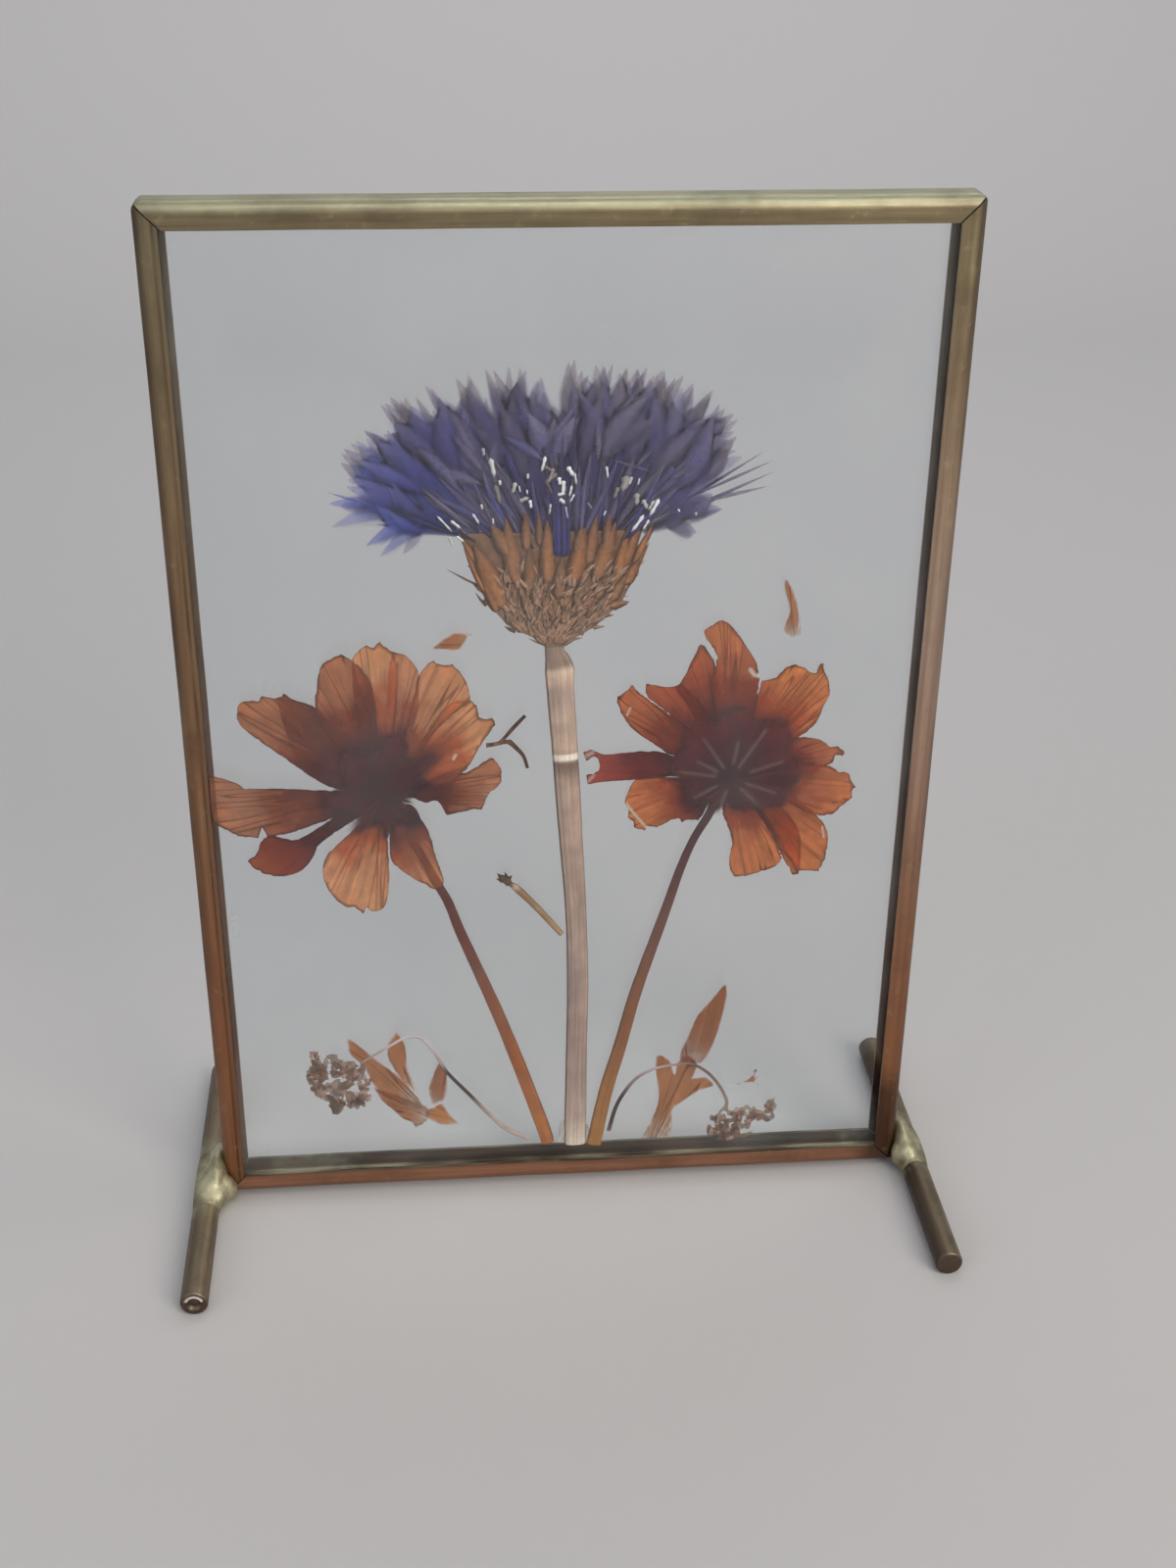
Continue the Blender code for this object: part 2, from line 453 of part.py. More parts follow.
def channel_profile():
    # (inward, depth) points round the U, open towards the glass
    half = CHANNEL_DEPTH / 2
    inner = CHANNEL_ROUND - CHANNEL_WALL

    def fold(side, radius, turns):
        middle = (CHANNEL_ROUND, side * (half - CHANNEL_ROUND))
        return [(middle[0] - radius * math.cos(turn), middle[1] + side * radius * math.sin(turn))
                for turn in turns]

    rise = [math.pi / 2 * step / FOLD_STEPS for step in range(FOLD_STEPS + 1)]
    fall = rise[::-1]
    outside = [(CHANNEL_LIP, -half)] + fold(-1, CHANNEL_ROUND, fall)
    outside += fold(1, CHANNEL_ROUND, rise) + [(CHANNEL_LIP, half)]
    inside = [(CHANNEL_LIP, half - CHANNEL_WALL)] + fold(1, inner, fall)
    inside += fold(-1, inner, rise) + [(CHANNEL_LIP, CHANNEL_WALL - half)]
    return outside + inside


def channel(name, length, turn, location, look):
    # Runs along X with its closed side up; both ends are mitred
    profile = channel_profile()
    back_off = MITRE_GAP / 2 * math.sqrt(2)
    bm = bmesh.new()
    ends = []
    for sign in (-1, 1):
        ends.append([bm.verts.new((sign * (length / 2 - inward - back_off) * MM, depth * MM,
                                   -inward * MM)) for inward, depth in profile])
    count = len(profile)
    for i in range(count):
        j = (i + 1) % count
        bm.faces.new((ends[0][i], ends[0][j], ends[1][j], ends[1][i]))
    bm.faces.new(ends[0])
    bm.faces.new(ends[1])
    bmesh.ops.recalc_face_normals(bm, faces=bm.faces)
    thing = new_object(name, bm, look)
    thing.rotation_euler = (0.0, turn, 0.0)
    thing.location = [value * MM for value in location]
    return thing


def make_channels(brass):
    middle = FRAME_LIFT + FRAME_HEIGHT / 2
    right_angle = math.pi / 2
    channel("channel_top", FRAME_WIDTH, 0.0, (0, 0, FRAME_LIFT + FRAME_HEIGHT), brass)
    channel("channel_bottom", FRAME_WIDTH, 2 * right_angle, (0, 0, FRAME_LIFT), brass)
    channel("channel_left", FRAME_HEIGHT, -right_angle, (-FRAME_WIDTH / 2, 0, middle), brass)
    channel("channel_right", FRAME_HEIGHT, right_angle, (FRAME_WIDTH / 2, 0, middle), brass)


def rod_shape(radius, length):
    # A round bar along Y whose lowest side is a narrow flat
    bm = bmesh.new()
    bmesh.ops.create_cone(bm, cap_ends=True, segments=ROD_SIDES, radius1=radius * MM,
                          radius2=radius * MM, depth=length * MM)
    for axis, angle in (("Z", math.pi / ROD_SIDES), ("X", math.pi / 2)):
        bmesh.ops.rotate(bm, verts=bm.verts, matrix=Matrix.Rotation(angle, 3, axis), cent=(0, 0, 0))
    return bm


def rod_place(side):
    height = ROD_RADIUS * math.cos(math.pi / ROD_SIDES)
    return side * (FRAME_WIDTH / 2 + ROD_JOINT + ROD_RADIUS), 0.0, height


def foot(name, side, dimple, look):
    bm = rod_shape(ROD_RADIUS, ROD_LENGTH)
    caps = [face for face in bm.faces if abs(face.normal.y) > 0.9]
    rims = {edge for face in caps for edge in face.edges}
    bmesh.ops.bevel(bm, geom=list(rims), offset=ROD_EDGE * MM, segments=2, profile=0.5,
                    affect="EDGES")
    if dimple:
        cap = [face for face in bm.faces if face.normal.y < -0.9 and len(face.verts) == ROD_SIDES]
        step = ROD_RADIUS - ROD_EDGE - DIMPLE_RADIUS
        bmesh.ops.inset_region(bm, faces=cap, thickness=step * MM)
        bmesh.ops.inset_region(bm, faces=cap, thickness=DIMPLE_RADIUS / 3 * MM,
                               depth=-DIMPLE_DEPTH * MM)
    thing = new_object(name, bm, look)
    thing.location = [value * MM for value in rod_place(side)]
    return thing


def box(name, low, high, look, arris=0.0):
    bm = bmesh.new()
    bmesh.ops.create_cube(bm, size=1.0)
    for vert in bm.verts:
        vert.co = [(a if value < 0 else b) * MM for a, b, value in zip(low, high, vert.co)]
    if arris:
        bmesh.ops.bevel(bm, geom=list(bm.edges), offset=arris * MM, segments=1, affect="EDGES")
    bmesh.ops.recalc_face_normals(bm, faces=bm.faces)
    return new_object(name, bm, look, smooth=False)


def solder_lump(name, side, middle, reach, look):
    # A frozen lump over rod and corner, kept clear of both by thin gaps
    bm = bmesh.new()
    bmesh.ops.create_uvsphere(bm, u_segments=18, v_segments=11, radius=1.0)
    for vert in bm.verts:
        swell = 1.0 + 0.04 * math.sin(5 * vert.co.y + side) * math.cos(4 * vert.co.z)
        vert.co = [(centre + size * value * swell) * MM
                   for centre, size, value in zip(middle, reach, vert.co)]
        vert.co.x *= side
    bmesh.ops.recalc_face_normals(bm, faces=bm.faces)
    lump = new_object(name, bm, look)
    gap = SOLDER_CLEARANCE
    inner, outer = sorted((side * FRAME_WIDTH / 4, side * (FRAME_WIDTH / 2 + gap)))
    depth = CHANNEL_DEPTH / 2 + gap
    corner = box(name + "_corner_guide", (inner, -depth, FRAME_LIFT - gap), (outer, depth, 20.0), look)
    bar = new_object(name + "_rod_guide", rod_shape(ROD_RADIUS + gap, ROD_LENGTH), look)
    bar.location = [value * MM for value in rod_place(side)]
    boolean(lump, guide(corner), "DIFFERENCE")
    boolean(lump, guide(bar), "DIFFERENCE")
    return lump


def make_panes(glass):
    half_width = FRAME_WIDTH / 2 - CHANNEL_WALL - PANE_PLAY
    low = FRAME_LIFT + CHANNEL_WALL + PANE_PLAY
    high = FRAME_LIFT + FRAME_HEIGHT - CHANNEL_WALL - PANE_PLAY
    outer = CHANNEL_DEPTH / 2 - CHANNEL_WALL - PANE_PLAY
    inner = outer - PANE_THICKNESS
    box("pane_front", (-half_width, -outer, low), (half_width, -inner, high), glass, PANE_ARRIS)
    box("pane_back", (-half_width, inner, low), (half_width, outer, high), glass, PANE_ARRIS)


# ---- pressed flowers -----------------------------------------------------------------------

def cornflower_florets(look):
    # One fan of florets grown together at the foot; each has pointed lobes and a raised rib
    lobes = len(FLORET_LOBES)
    columns = FLORET_COUNT * lobes + 1
    left, right = FLORET_SPRING_SPAN
    front, back, tucked = layer_front(0), layer_back(6), 0.06

    def place(c, r, side):
        share = c / (columns - 1)
        bearing, length = between(FLORET_FAN, share)
        lobe = FLORET_LOBES[c % lobes] - 0.09 * uneven(c // lobes, 3)
        reach = FLORET_ROWS[r] * length * (1.0 if r < len(FLORET_ROWS) - 1 else lobe)
        sag = (2 * share - 1) ** 2 * FLORET_SPRING_RISE
        x = left + (right - left) * share + reach * math.sin(math.radians(bearing))
        z = FLORET_SPRING_Z + sag + reach * math.cos(math.radians(bearing))
        rib = 0.22 if c % 2 else 0.0
        thin = 0.2 if r == len(FLORET_ROWS) - 1 else 0.0
        if side == 1:
            return x, back - rib * 0.5 - thin, z
        if r < 2:
            return x, tucked, z
        return x, front + rib + thin, z

    slab("cornflower_florets", columns, len(FLORET_ROWS), place, look)


def cornflower_base(look):
    # Swollen base covered with rows of bracts; its upper part lies in front of the florets
    across = BRACTS_ACROSS * 3
    up = BRACT_ROWS * 3
    low, high = BASE_SECTIONS[0][0], BASE_SECTIONS[-1][0]
    middle_depth = -0.06
    tuck_height = 89.4

    def place(c, r, side):
        share, rise = c / across, r / up
        height = low + (high - low) * rise
        left, right = between(BASE_SECTIONS, height)
        x = left + (right - left) * share
        z = height + (2 * share - 1) ** 2 * (1.0 - rise) * 0.7
        if r == up:
            z += 0.9 if c % 3 == 1 else -0.6 * uneven(c, 5)
        step = r % 3 / 3
        crest = 1.0 - abs((c + r // 3) % 3 - 1) * 0.8
        bulge = math.sin(math.pi * min(max(share, 0.0), 1.0))
        raised = (0.1 + 0.12 * crest * step) * (0.4 + 0.6 * bulge)
        if side == 0:
            return x, layer_front(0) + 0.25 - raised, z
        if height > tuck_height:
            return x, middle_depth, z
        return x, layer_back(6) - 0.25 + raised, z

    slab("cornflower_involucre", across + 1, up + 1, place, look)


def petals(flower, middle, shapes, look):
    for name, (layer, points) in shapes.items():
        outline = [(x + middle[0], z + middle[1]) for x, z in smooth_outline(points)]
        sheet(f"{flower}_petal_{name}", outline, layer_front(layer), layer_back(layer), look)


def bract_outline(middle, bracts, parting):
    # Pointed bracts round the middle, as one closed outline
    points = []
    count = len(bracts)
    for i, (bearing, length, half_width) in enumerate(bracts):
        next_bearing, next_length, _ = bracts[(i + 1) % count]
        if i == count - 1:
            next_bearing += 360
        along = Vector((math.sin(math.radians(bearing)), math.cos(math.radians(bearing))))
        across = Vector((along.y, -along.x))
        widest = along * length * BRACT_WIDEST
        valley = math.radians((bearing + next_bearing) / 2)
        core = parting * (length + next_length) / 2
        points.append(tuple(widest - across * half_width))
        points.append((*(along * length), SHARP))
        points.append(tuple(widest + across * half_width))
        points.append((math.sin(valley) * core, math.cos(valley) * core))
    return [Vector(middle) + point for point in smooth_outline(points)]


def cosmos_heart(name, middle, bracts, parting, disc_front, disc_back, look):
    # The star of bracts in the middle layer, with the disc that stands through the petals
    star = sheet(name, bract_outline(middle, bracts, parting), layer_front(3), layer_back(3), look)
    turns = [2 * math.pi * step / 16 for step in range(16)]
    ring = [(middle[0] + COSMOS_CORE * math.sin(turn), middle[1] + COSMOS_CORE * math.cos(turn))
            for turn in turns]
    disc = sheet(name + "_disc_guide", ring, disc_front, disc_back, look)
    boolean(star, guide(disc), "UNION")
    return star


def crumpled(name, outline, front, back, look):
    # A cluster of tiny dried florets pressed into one ragged lump
    count = len(outline)
    middle = sum((Vector(point) for point in outline), Vector((0.0, 0.0))) / count
    depth = back - front
    bm = bmesh.new()
    rings = []
    for ring, (share, swell) in enumerate(((0.45, 0.42), (0.8, 0.34), (1.0, 0.14))):
        for side in (-1, 1):
            row = []
            for i, point in enumerate(outline):
                ragged = share * (1.0 - 0.12 * uneven(i, ring))
                spot = middle + (Vector(point) - middle) * ragged
                puff = depth * (swell - 0.16 * uneven(i, ring, side))
                row.append(bm.verts.new((spot.x * MM, ((front + back) / 2 + side * puff) * MM,
                                         spot.y * MM)))
            rings.append(row)
    order = [rings[0], rings[2], rings[4], rings[5], rings[3], rings[1]]
    for near, far in zip(order, order[1:]):
        for i in range(count):
            bm.faces.new((near[i], near[(i + 1) % count], far[(i + 1) % count], far[i]))
    for side, row in ((-1, rings[0]), (1, rings[1])):
        pole = bm.verts.new((middle.x * MM, ((front + back) / 2 + side * depth * 0.44) * MM,
                             middle.y * MM))
        for i in range(count):
            bm.faces.new((row[i], row[(i + 1) % count], pole))
    bmesh.ops.recalc_face_normals(bm, faces=bm.faces)
    return new_object(name, bm, look)


def make_cornflower():
    cornflower_florets(material("violet florets", (0.075, 0.065, 0.20), 0.75))
    cornflower_base(material("tan bracts", (0.38, 0.20, 0.09), 0.8))
    straw = material("straw stem", (0.48, 0.38, 0.30), 0.7)
    stalk("cornflower_stem", CORNFLOWER_STEM, 0.0, 0.6, straw, sides=10)
    stalk("cornflower_side_shoot", SIDE_SHOOT, 0.0, 0.35, straw, sides=6)


def make_cosmos():
    petal = material("cosmos petal", (0.42, 0.13, 0.045), 0.6)
    heart = material("cosmos heart", (0.08, 0.035, 0.035), 0.8)
    stem = material("cosmos stem", (0.27, 0.11, 0.05), 0.65)
    petals("left_cosmos", LEFT_COSMOS_MIDDLE, LEFT_COSMOS_PETALS, petal)
    inside_star = (layer_front(3) + layer_back(3)) / 2
    cosmos_heart("left_cosmos_heart", LEFT_COSMOS_MIDDLE, LEFT_COSMOS_BRACTS, LEFT_BRACT_VALLEY,
                 layer_front(0), inside_star, heart)
    stalk("left_cosmos_stem", LEFT_COSMOS_STEM, 0.4, 0.26, stem)
    petals("right_cosmos", RIGHT_COSMOS_MIDDLE, RIGHT_COSMOS_PETALS, petal)
    cosmos_heart("right_cosmos_heart", RIGHT_COSMOS_MIDDLE, RIGHT_COSMOS_BRACTS, RIGHT_BRACT_VALLEY,
                 inside_star, layer_back(6), heart)
    stalk("right_cosmos_stem", RIGHT_COSMOS_STEM, -0.4, 0.26, stem)


def make_loose_pieces():
    petal = material("loose petal", (0.50, 0.25, 0.12), 0.6)
    thread = material("dry filament", (0.22, 0.16, 0.12), 0.7)
    middle = 3
    for name, points, look in (("loose_petal", LOOSE_PETAL, petal),
                               ("loose_floret", LOOSE_FLORET, petal),
                               ("loose_filament", LOOSE_FILAMENT, thread)):
        sheet(name, smooth_outline(points), layer_front(middle), layer_back(middle), look)


def make_sprig(side, leaves, cluster, stem_path):
    leaf = material(side + " sprig leaf", (0.40, 0.19, 0.09), 0.65)
    pale = material(side + " sprig florets", (0.52, 0.47, 0.44), 0.8)
    thread = material(side + " sprig stem", (0.35, 0.28, 0.26), 0.6)
    for name, (layer, points) in leaves.items():
        sheet(f"{side}_sprig_leaf_{name}", smooth_outline(points), layer_front(layer),
              layer_back(layer), leaf)
    crumpled(side + "_sprig_florets", cluster, layer_front(2), layer_back(6), pale)
    stalk(side + "_sprig_stem", stem_path, -0.52, 0.14, thread, sides=6, steps=1)
    return pale, thread


def make_sprigs():
    pale, _ = make_sprig("left", LEFT_SPRIG_LEAVES, LEFT_SPRIG_CLUSTER, LEFT_SPRIG_STEM)
    sheet("left_sprig_base", smooth_outline(LEFT_SPRIG_BASE), layer_front(6), layer_back(6), pale)
    _, thread = make_sprig("right", RIGHT_SPRIG_LEAVES, RIGHT_SPRIG_CLUSTER, RIGHT_SPRIG_STEM)
    sheet("right_sprig_twig", smooth_outline(RIGHT_SPRIG_TWIG), layer_front(3), layer_back(3), thread)


def main():
    clear_scene()
    brass = material("patinated brass", (0.33, 0.27, 0.17), 0.4, 1.0)
    rod_brass = material("dull brass rod", (0.26, 0.22, 0.15), 0.45, 1.0)
    solder = material("brass solder", (0.55, 0.52, 0.36), 0.3, 1.0)
    glass = material("window glass", (0.8, 0.86, 0.86), 0.05)
    make_channels(brass)
    foot("foot_left", -1, True, rod_brass)
    foot("foot_right", 1, False, rod_brass)
    for name, lump in SOLDER_LUMPS.items():
        solder_lump(name, lump["side"], lump["middle"], lump["reach"], solder)
    make_panes(glass)
    make_cornflower()
    make_cosmos()
    make_loose_pieces()
    make_sprigs()


main()
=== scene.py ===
import math
import random
from functools import partial

import bmesh
import bpy
import numpy as np
from mathutils import Matrix, Vector, geometry, noise


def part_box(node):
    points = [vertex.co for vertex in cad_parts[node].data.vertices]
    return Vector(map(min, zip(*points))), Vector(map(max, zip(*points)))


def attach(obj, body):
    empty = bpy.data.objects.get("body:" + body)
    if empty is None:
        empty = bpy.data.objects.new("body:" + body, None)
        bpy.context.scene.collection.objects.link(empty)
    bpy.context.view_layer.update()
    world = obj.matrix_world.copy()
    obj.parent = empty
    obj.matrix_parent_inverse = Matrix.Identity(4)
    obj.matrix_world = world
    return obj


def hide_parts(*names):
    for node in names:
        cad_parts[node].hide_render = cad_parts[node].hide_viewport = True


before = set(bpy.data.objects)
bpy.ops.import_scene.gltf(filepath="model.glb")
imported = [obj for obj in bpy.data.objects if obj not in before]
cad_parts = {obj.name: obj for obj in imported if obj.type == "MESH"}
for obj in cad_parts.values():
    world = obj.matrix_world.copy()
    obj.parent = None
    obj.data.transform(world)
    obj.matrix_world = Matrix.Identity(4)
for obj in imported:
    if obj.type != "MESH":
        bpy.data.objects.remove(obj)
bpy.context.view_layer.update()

mm = 0.001
noiseSpan = {"From Min": 0.3, "From Max": 0.7}  # nearly all of a noise texture lies in it


# colours, nodes and meshes

def linear(hexColour):
    channels = [int(hexColour[i:i + 2], 16) / 255 for i in (1, 3, 5)]
    return [c / 12.92 if c <= 0.04045 else ((c + 0.055) / 1.055) ** 2.4 for c in channels] + [1.0]


def addNode(tree, kind, inputs=None, stops=None, **settings):
    # a kind with no family name is a shader node; an input that is a node, for its first output,
    # or a socket is linked, a hex text is a colour, anything else is a plain value
    node = tree.nodes.new(kind if "Node" in kind else "ShaderNode" + kind)
    for key, value in settings.items():
        setattr(node, key, value)
    for key, value in (inputs or {}).items():
        value = value.outputs[0] if isinstance(value, bpy.types.Node) else value
        if isinstance(value, bpy.types.NodeSocket):
            tree.links.new(value, node.inputs[key])
        elif isinstance(value, str) and value.startswith("#"):
            node.inputs[key].default_value = linear(value)
        else:
            node.inputs[key].default_value = value
    for number, (place, hexColour) in enumerate(stops or ()):
        elements = node.color_ramp.elements
        element = elements[number] if number < 2 else elements.new(place)
        element.position = place
        element.color = linear(hexColour)
    return node


def newMaterial(name):
    material = bpy.data.materials.new(name)
    material.use_nodes = True
    material.node_tree.nodes.clear()
    return material, partial(addNode, material.node_tree)


def newObject(name, data):
    made = bpy.data.objects.new(name, data)
    bpy.context.scene.collection.objects.link(made)
    return made


def storeValues(mesh, key, values, kind="FLOAT"):
    field = "vector" if kind == "FLOAT_VECTOR" else "value"
    mesh.attributes.new(key, kind, "POINT").data.foreach_set(field, values)


def meshObject(name, points, faces, material, attributes=None):
    mesh = bpy.data.meshes.new(name)
    mesh.from_pydata(points, [], faces)
    for key, values in (attributes or {}).items():
        storeValues(mesh, key, values)
    mesh.materials.append(material)
    mesh.shade_smooth()
    mesh.update()
    return newObject(name, mesh)


def ringFaces(rings, around, caps=True):
    # the faces of a skin over rings of points, and of its two ends
    faces = [(i * around + k, i * around + (k + 1) % around, (i + 1) * around + (k + 1) % around,
              (i + 1) * around + k) for i in range(rings - 1) for k in range(around)]
    return faces + [tuple(range(around)), tuple(range((rings - 1) * around, rings * around))] * caps


def hermite(a, b, leave, arrive, t):
    return ((2 * t ** 3 - 3 * t ** 2 + 1) * a + (t ** 3 - 2 * t ** 2 + t) * leave
            + (3 * t ** 2 - 2 * t ** 3) * b + (t ** 3 - t ** 2) * arrive)


def heldIn(point, box):
    return Vector([min(max(c, a), b) for c, a, b in zip(point, *box)])


def turnOutwards(piece, mergeDistance=0.0):
    bm = bmesh.new()
    bm.from_mesh(piece.data)
    if mergeDistance:
        bmesh.ops.remove_doubles(bm, verts=bm.verts, dist=mergeDistance)
    bmesh.ops.recalc_face_normals(bm, faces=bm.faces)
    bm.to_mesh(piece.data)
    bm.free()
    return piece


def settle(piece, nodes):
    # every piece belongs to the one body, and stands for its CAD nodes
    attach(piece, "root")
    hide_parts(*nodes)
    return piece


def flattenModifiers(piece):
    # the evaluated object becomes a plain mesh
    depsgraph = bpy.context.evaluated_depsgraph_get()
    mesh = bpy.data.meshes.new_from_object(piece.evaluated_get(depsgraph), depsgraph=depsgraph)
    old = piece.data
    piece.modifiers.clear()
    if piece.type == "MESH":
        piece.data = mesh
        bpy.data.meshes.remove(old)
        mesh.name = piece.name
        return piece
    name = piece.name
    plain = newObject(name + "_mesh", mesh)
    bpy.data.objects.remove(piece)
    plain.name = name
    mesh.name = name
    return plain


def addTree(piece, tree, values):
    # the modifier's inputs are set by their sockets' identifiers before it is evaluated
    modifier = piece.modifiers.new(tree.name, "NODES")
    modifier.node_group = tree
    identifiers = {item.name: item.identifier for item in tree.interface.items_tree
                   if item.item_type == "SOCKET" and item.in_out == "INPUT"}
    for key, value in values.items():
        modifier[identifiers[key]] = value
    return modifier


def newTree(name, sockets):
    tree = bpy.data.node_groups.new(name, "GeometryNodeTree")
    for way in ("OUTPUT", "INPUT"):
        tree.interface.new_socket("Geometry", in_out=way, socket_type="NodeSocketGeometry")
    for key, (kind, value) in sockets.items():
        socket = tree.interface.new_socket(key, in_out="INPUT", socket_type=kind)
        if value is not None:
            socket.default_value = value
    return partial(addNode, tree), tree.nodes.new("NodeGroupInput").outputs


def finishTree(add, geometry, finish):
    # nothing stays an instance, and all of it gets the one material
    real = add("GeometryNodeRealizeInstances", {0: geometry})
    done = add("GeometryNodeSetMaterial", {"Geometry": real, "Material": finish})
    return add("NodeGroupOutput", {0: done}).id_data


# finishes

channelFinish = {
    # colours of the upright faces low down and high up and of what faces upwards, which are painted
    # reflections and sheen, and of its marks
    "low": "#a06e50", "high": "#8e8064", "top": "#bebb9c", "dark": "#45352a", "worn": "#c9c09a",
    "blotchMm": 9.0, "grainMm": 0.25, "roughness": (0.36, 0.52), "dark share": 0.35, "worn share": 0.22,
}
# the rods have one colour along their height and a lighter painted sheen on their tops
rodFinish = dict(channelFinish, low="#7a685a", high="#7a685a", top="#8f816a", dark="#3a2c28", worn="#a89e86",
                 blotchMm=6.0, roughness=(0.36, 0.54))
rodFinish["dark share"] = 0.5


def patinatedBrass(name, look):
    # folded or drawn brass gone brown with age, with painted reflections: copper low down, olive higher up
    # and
    # # pale where it faces upwards; painted shade nearly black in the folds, with drawn streaks that follow
    # its length
    material, add = newMaterial(name)
    value = {key: add("Attribute", attribute_name=key).outputs["Fac"]
             for key in ("run", "girth", "patina", "polish", "tinned")}
    place = add("TexCoord")
    spot = place.outputs["Object"]
    facing = add("SeparateXYZ", {0: place.outputs["Normal"]})
    upwardSheen = add("MapRange", {"Value": facing.outputs["Z"], "From Min": 0.0, "From Max": 0.66},
                 interpolation_type="SMOOTHSTEP")
    drawn = add("CombineXYZ", {0: value["run"], 1: value["girth"]})
    long = add("Mapping", {"Vector": drawn, "Scale": (0.05, 1.5, 1.0)})
    streak = add("TexNoise", {"Vector": long, "Scale": 1.0, "Detail": 4.0, "Roughness": 0.6})
    blotch = add("TexNoise", {
        "Vector": spot, "Scale": 1 / (look["blotchMm"] * mm), "Detail": 4.0, "Roughness": 0.6})
    grain = add("TexNoise", {"Vector": spot, "Scale": 1 / (look["grainMm"] * mm), "Detail": 2.0})
    wear = add("TexNoise", {
        "Vector": spot, "Scale": 1 / (look["blotchMm"] * 0.23 * mm), "Detail": 3.0, "Roughness": 0.7})
    # painted reflection: copper low down and olive higher up on the upright faces, and a pale painted sheen
    # where they turn upwards
    height = add("MapRange", {
        "Value": add("SeparateXYZ", {0: spot}).outputs["Z"],
        "From Min": 30 * mm, "From Max": 125 * mm})
    upright = add("Mix", {0: height, 6: look["low"], 7: look["high"]}, data_type="RGBA")
    faces = add("Mix", {0: upwardSheen, 6: upright.outputs[2], 7: look["top"]}, data_type="RGBA")
    lines = add("MapRange", {"Value": streak, **noiseSpan, "To Min": 0.78, "To Max": 1.16})
    bright = add("Math", {0: value["polish"], 1: lines, 2: lines}, operation="MULTIPLY_ADD")
    # lightened places are brighter and greyer: a painted highlight on the rods' punched ring, a lighter
    # middle on the channels
    greyed = add("Mix", {0: value["polish"], 6: faces.outputs[2], 7: "#958883"}, data_type="RGBA")
    lined = add("VectorMath", {0: greyed.outputs[2], "Scale": bright}, operation="SCALE")
    cloud = add("MapRange", {
        "Value": blotch, "From Min": 0.48, "From Max": 0.72,
        "To Max": look["dark share"]})
    # the darker of the patina blotches and each point's own patina and painted shade
    darkShare = add("Math", {0: cloud, 1: value["patina"]}, operation="MAXIMUM")
    aged = add("Mix", {0: darkShare, 6: lined, 7: look["dark"]}, data_type="RGBA")
    wornShare = add("MapRange", {
        "Value": wear, "From Min": 0.6, "From Max": 0.75, "To Max": look["worn share"]})
    rubbed = add("Mix", {0: wornShare, 6: aged.outputs[2], 7: look["worn"]}, data_type="RGBA")
    # where the solder was drawn out thin over the metal
    wetted = add("Math", {0: wear, 1: 1.6, 2: -0.8}, operation="MULTIPLY_ADD")
    tinned = add("Math", {0: value["tinned"], 1: wetted}, operation="ADD")
    tinShare = add("MapRange", {"Value": tinned, "From Min": 0.3, "From Max": 1.0, "To Max": 0.85})
    colour = add("Mix", {0: tinShare, 6: rubbed.outputs[2], 7: "#a69f88"}, data_type="RGBA")
    low, high = look["roughness"]
    rough = add("MapRange", {"Value": wear, **noiseSpan, "To Min": low, "To Max": high})
    bump = add("Bump", {"Strength": 0.25, "Distance": 0.02 * mm, "Height": grain})
    dents = add("Bump", {"Strength": 0.3, "Distance": 0.12 * mm, "Height": streak, "Normal": bump})
    shader = add("BsdfPrincipled", {
        "Base Color": colour.outputs[2], "Metallic": 0.9, "Roughness": rough,
        "Normal": dents})
    add("OutputMaterial", {0: shader})
    return material


def softSolder(name):
    # tin-lead solder run over brass: pale yellow-grey in its middle, partly a painted highlight, brown flux
    # at its margins
    material, add = newMaterial(name)
    spot = add("TexCoord").outputs["Object"]
    cloud = add("TexNoise", {"Vector": spot, "Scale": 1 / (2.6 * mm), "Detail": 4.0, "Roughness": 0.6})
    pits = add("TexNoise", {"Vector": spot, "Scale": 1 / (0.5 * mm), "Detail": 3.0, "Roughness": 0.65})
    margin = add("Attribute", attribute_name="margin")
    share = add("Math", {0: margin.outputs["Fac"], 1: cloud}, operation="ADD")
    # pale in the middle, partly a painted highlight, to brown flux at the margins
    ramp = add("ValToRGB", {0: share}, stops=(
        (0.36, "#dcd8b6"), (0.56, "#b4af90"), (0.8, "#8f866c"), (1.0, "#6e604e")))
    rough = add("MapRange", {"Value": pits, **noiseSpan, "To Min": 0.46, "To Max": 0.64})
    bump = add("Bump", {"Strength": 0.3, "Distance": 0.03 * mm, "Height": pits})
    shader = add("BsdfPrincipled", {
        "Base Color": ramp, "Metallic": 0.92, "Roughness": rough,
        "Normal": bump})
    add("OutputMaterial", {0: shader})
    return material


glassSmears = {
    # middle (x, z) and half size in mm of each greasy touch, and how white it is
    "touches": (((-34.9, 74.3), (1.0, 2.4), 0.14), ((-9.7, 60.3), (0.8, 0.8), 0.4),
                ((4.3, 116.1), (1.6, 0.7), 0.1), ((-41.3, 42.1), (0.7, 2.2), 0.3)),
    "filmMm": 16.0, "film": 0.035,
}


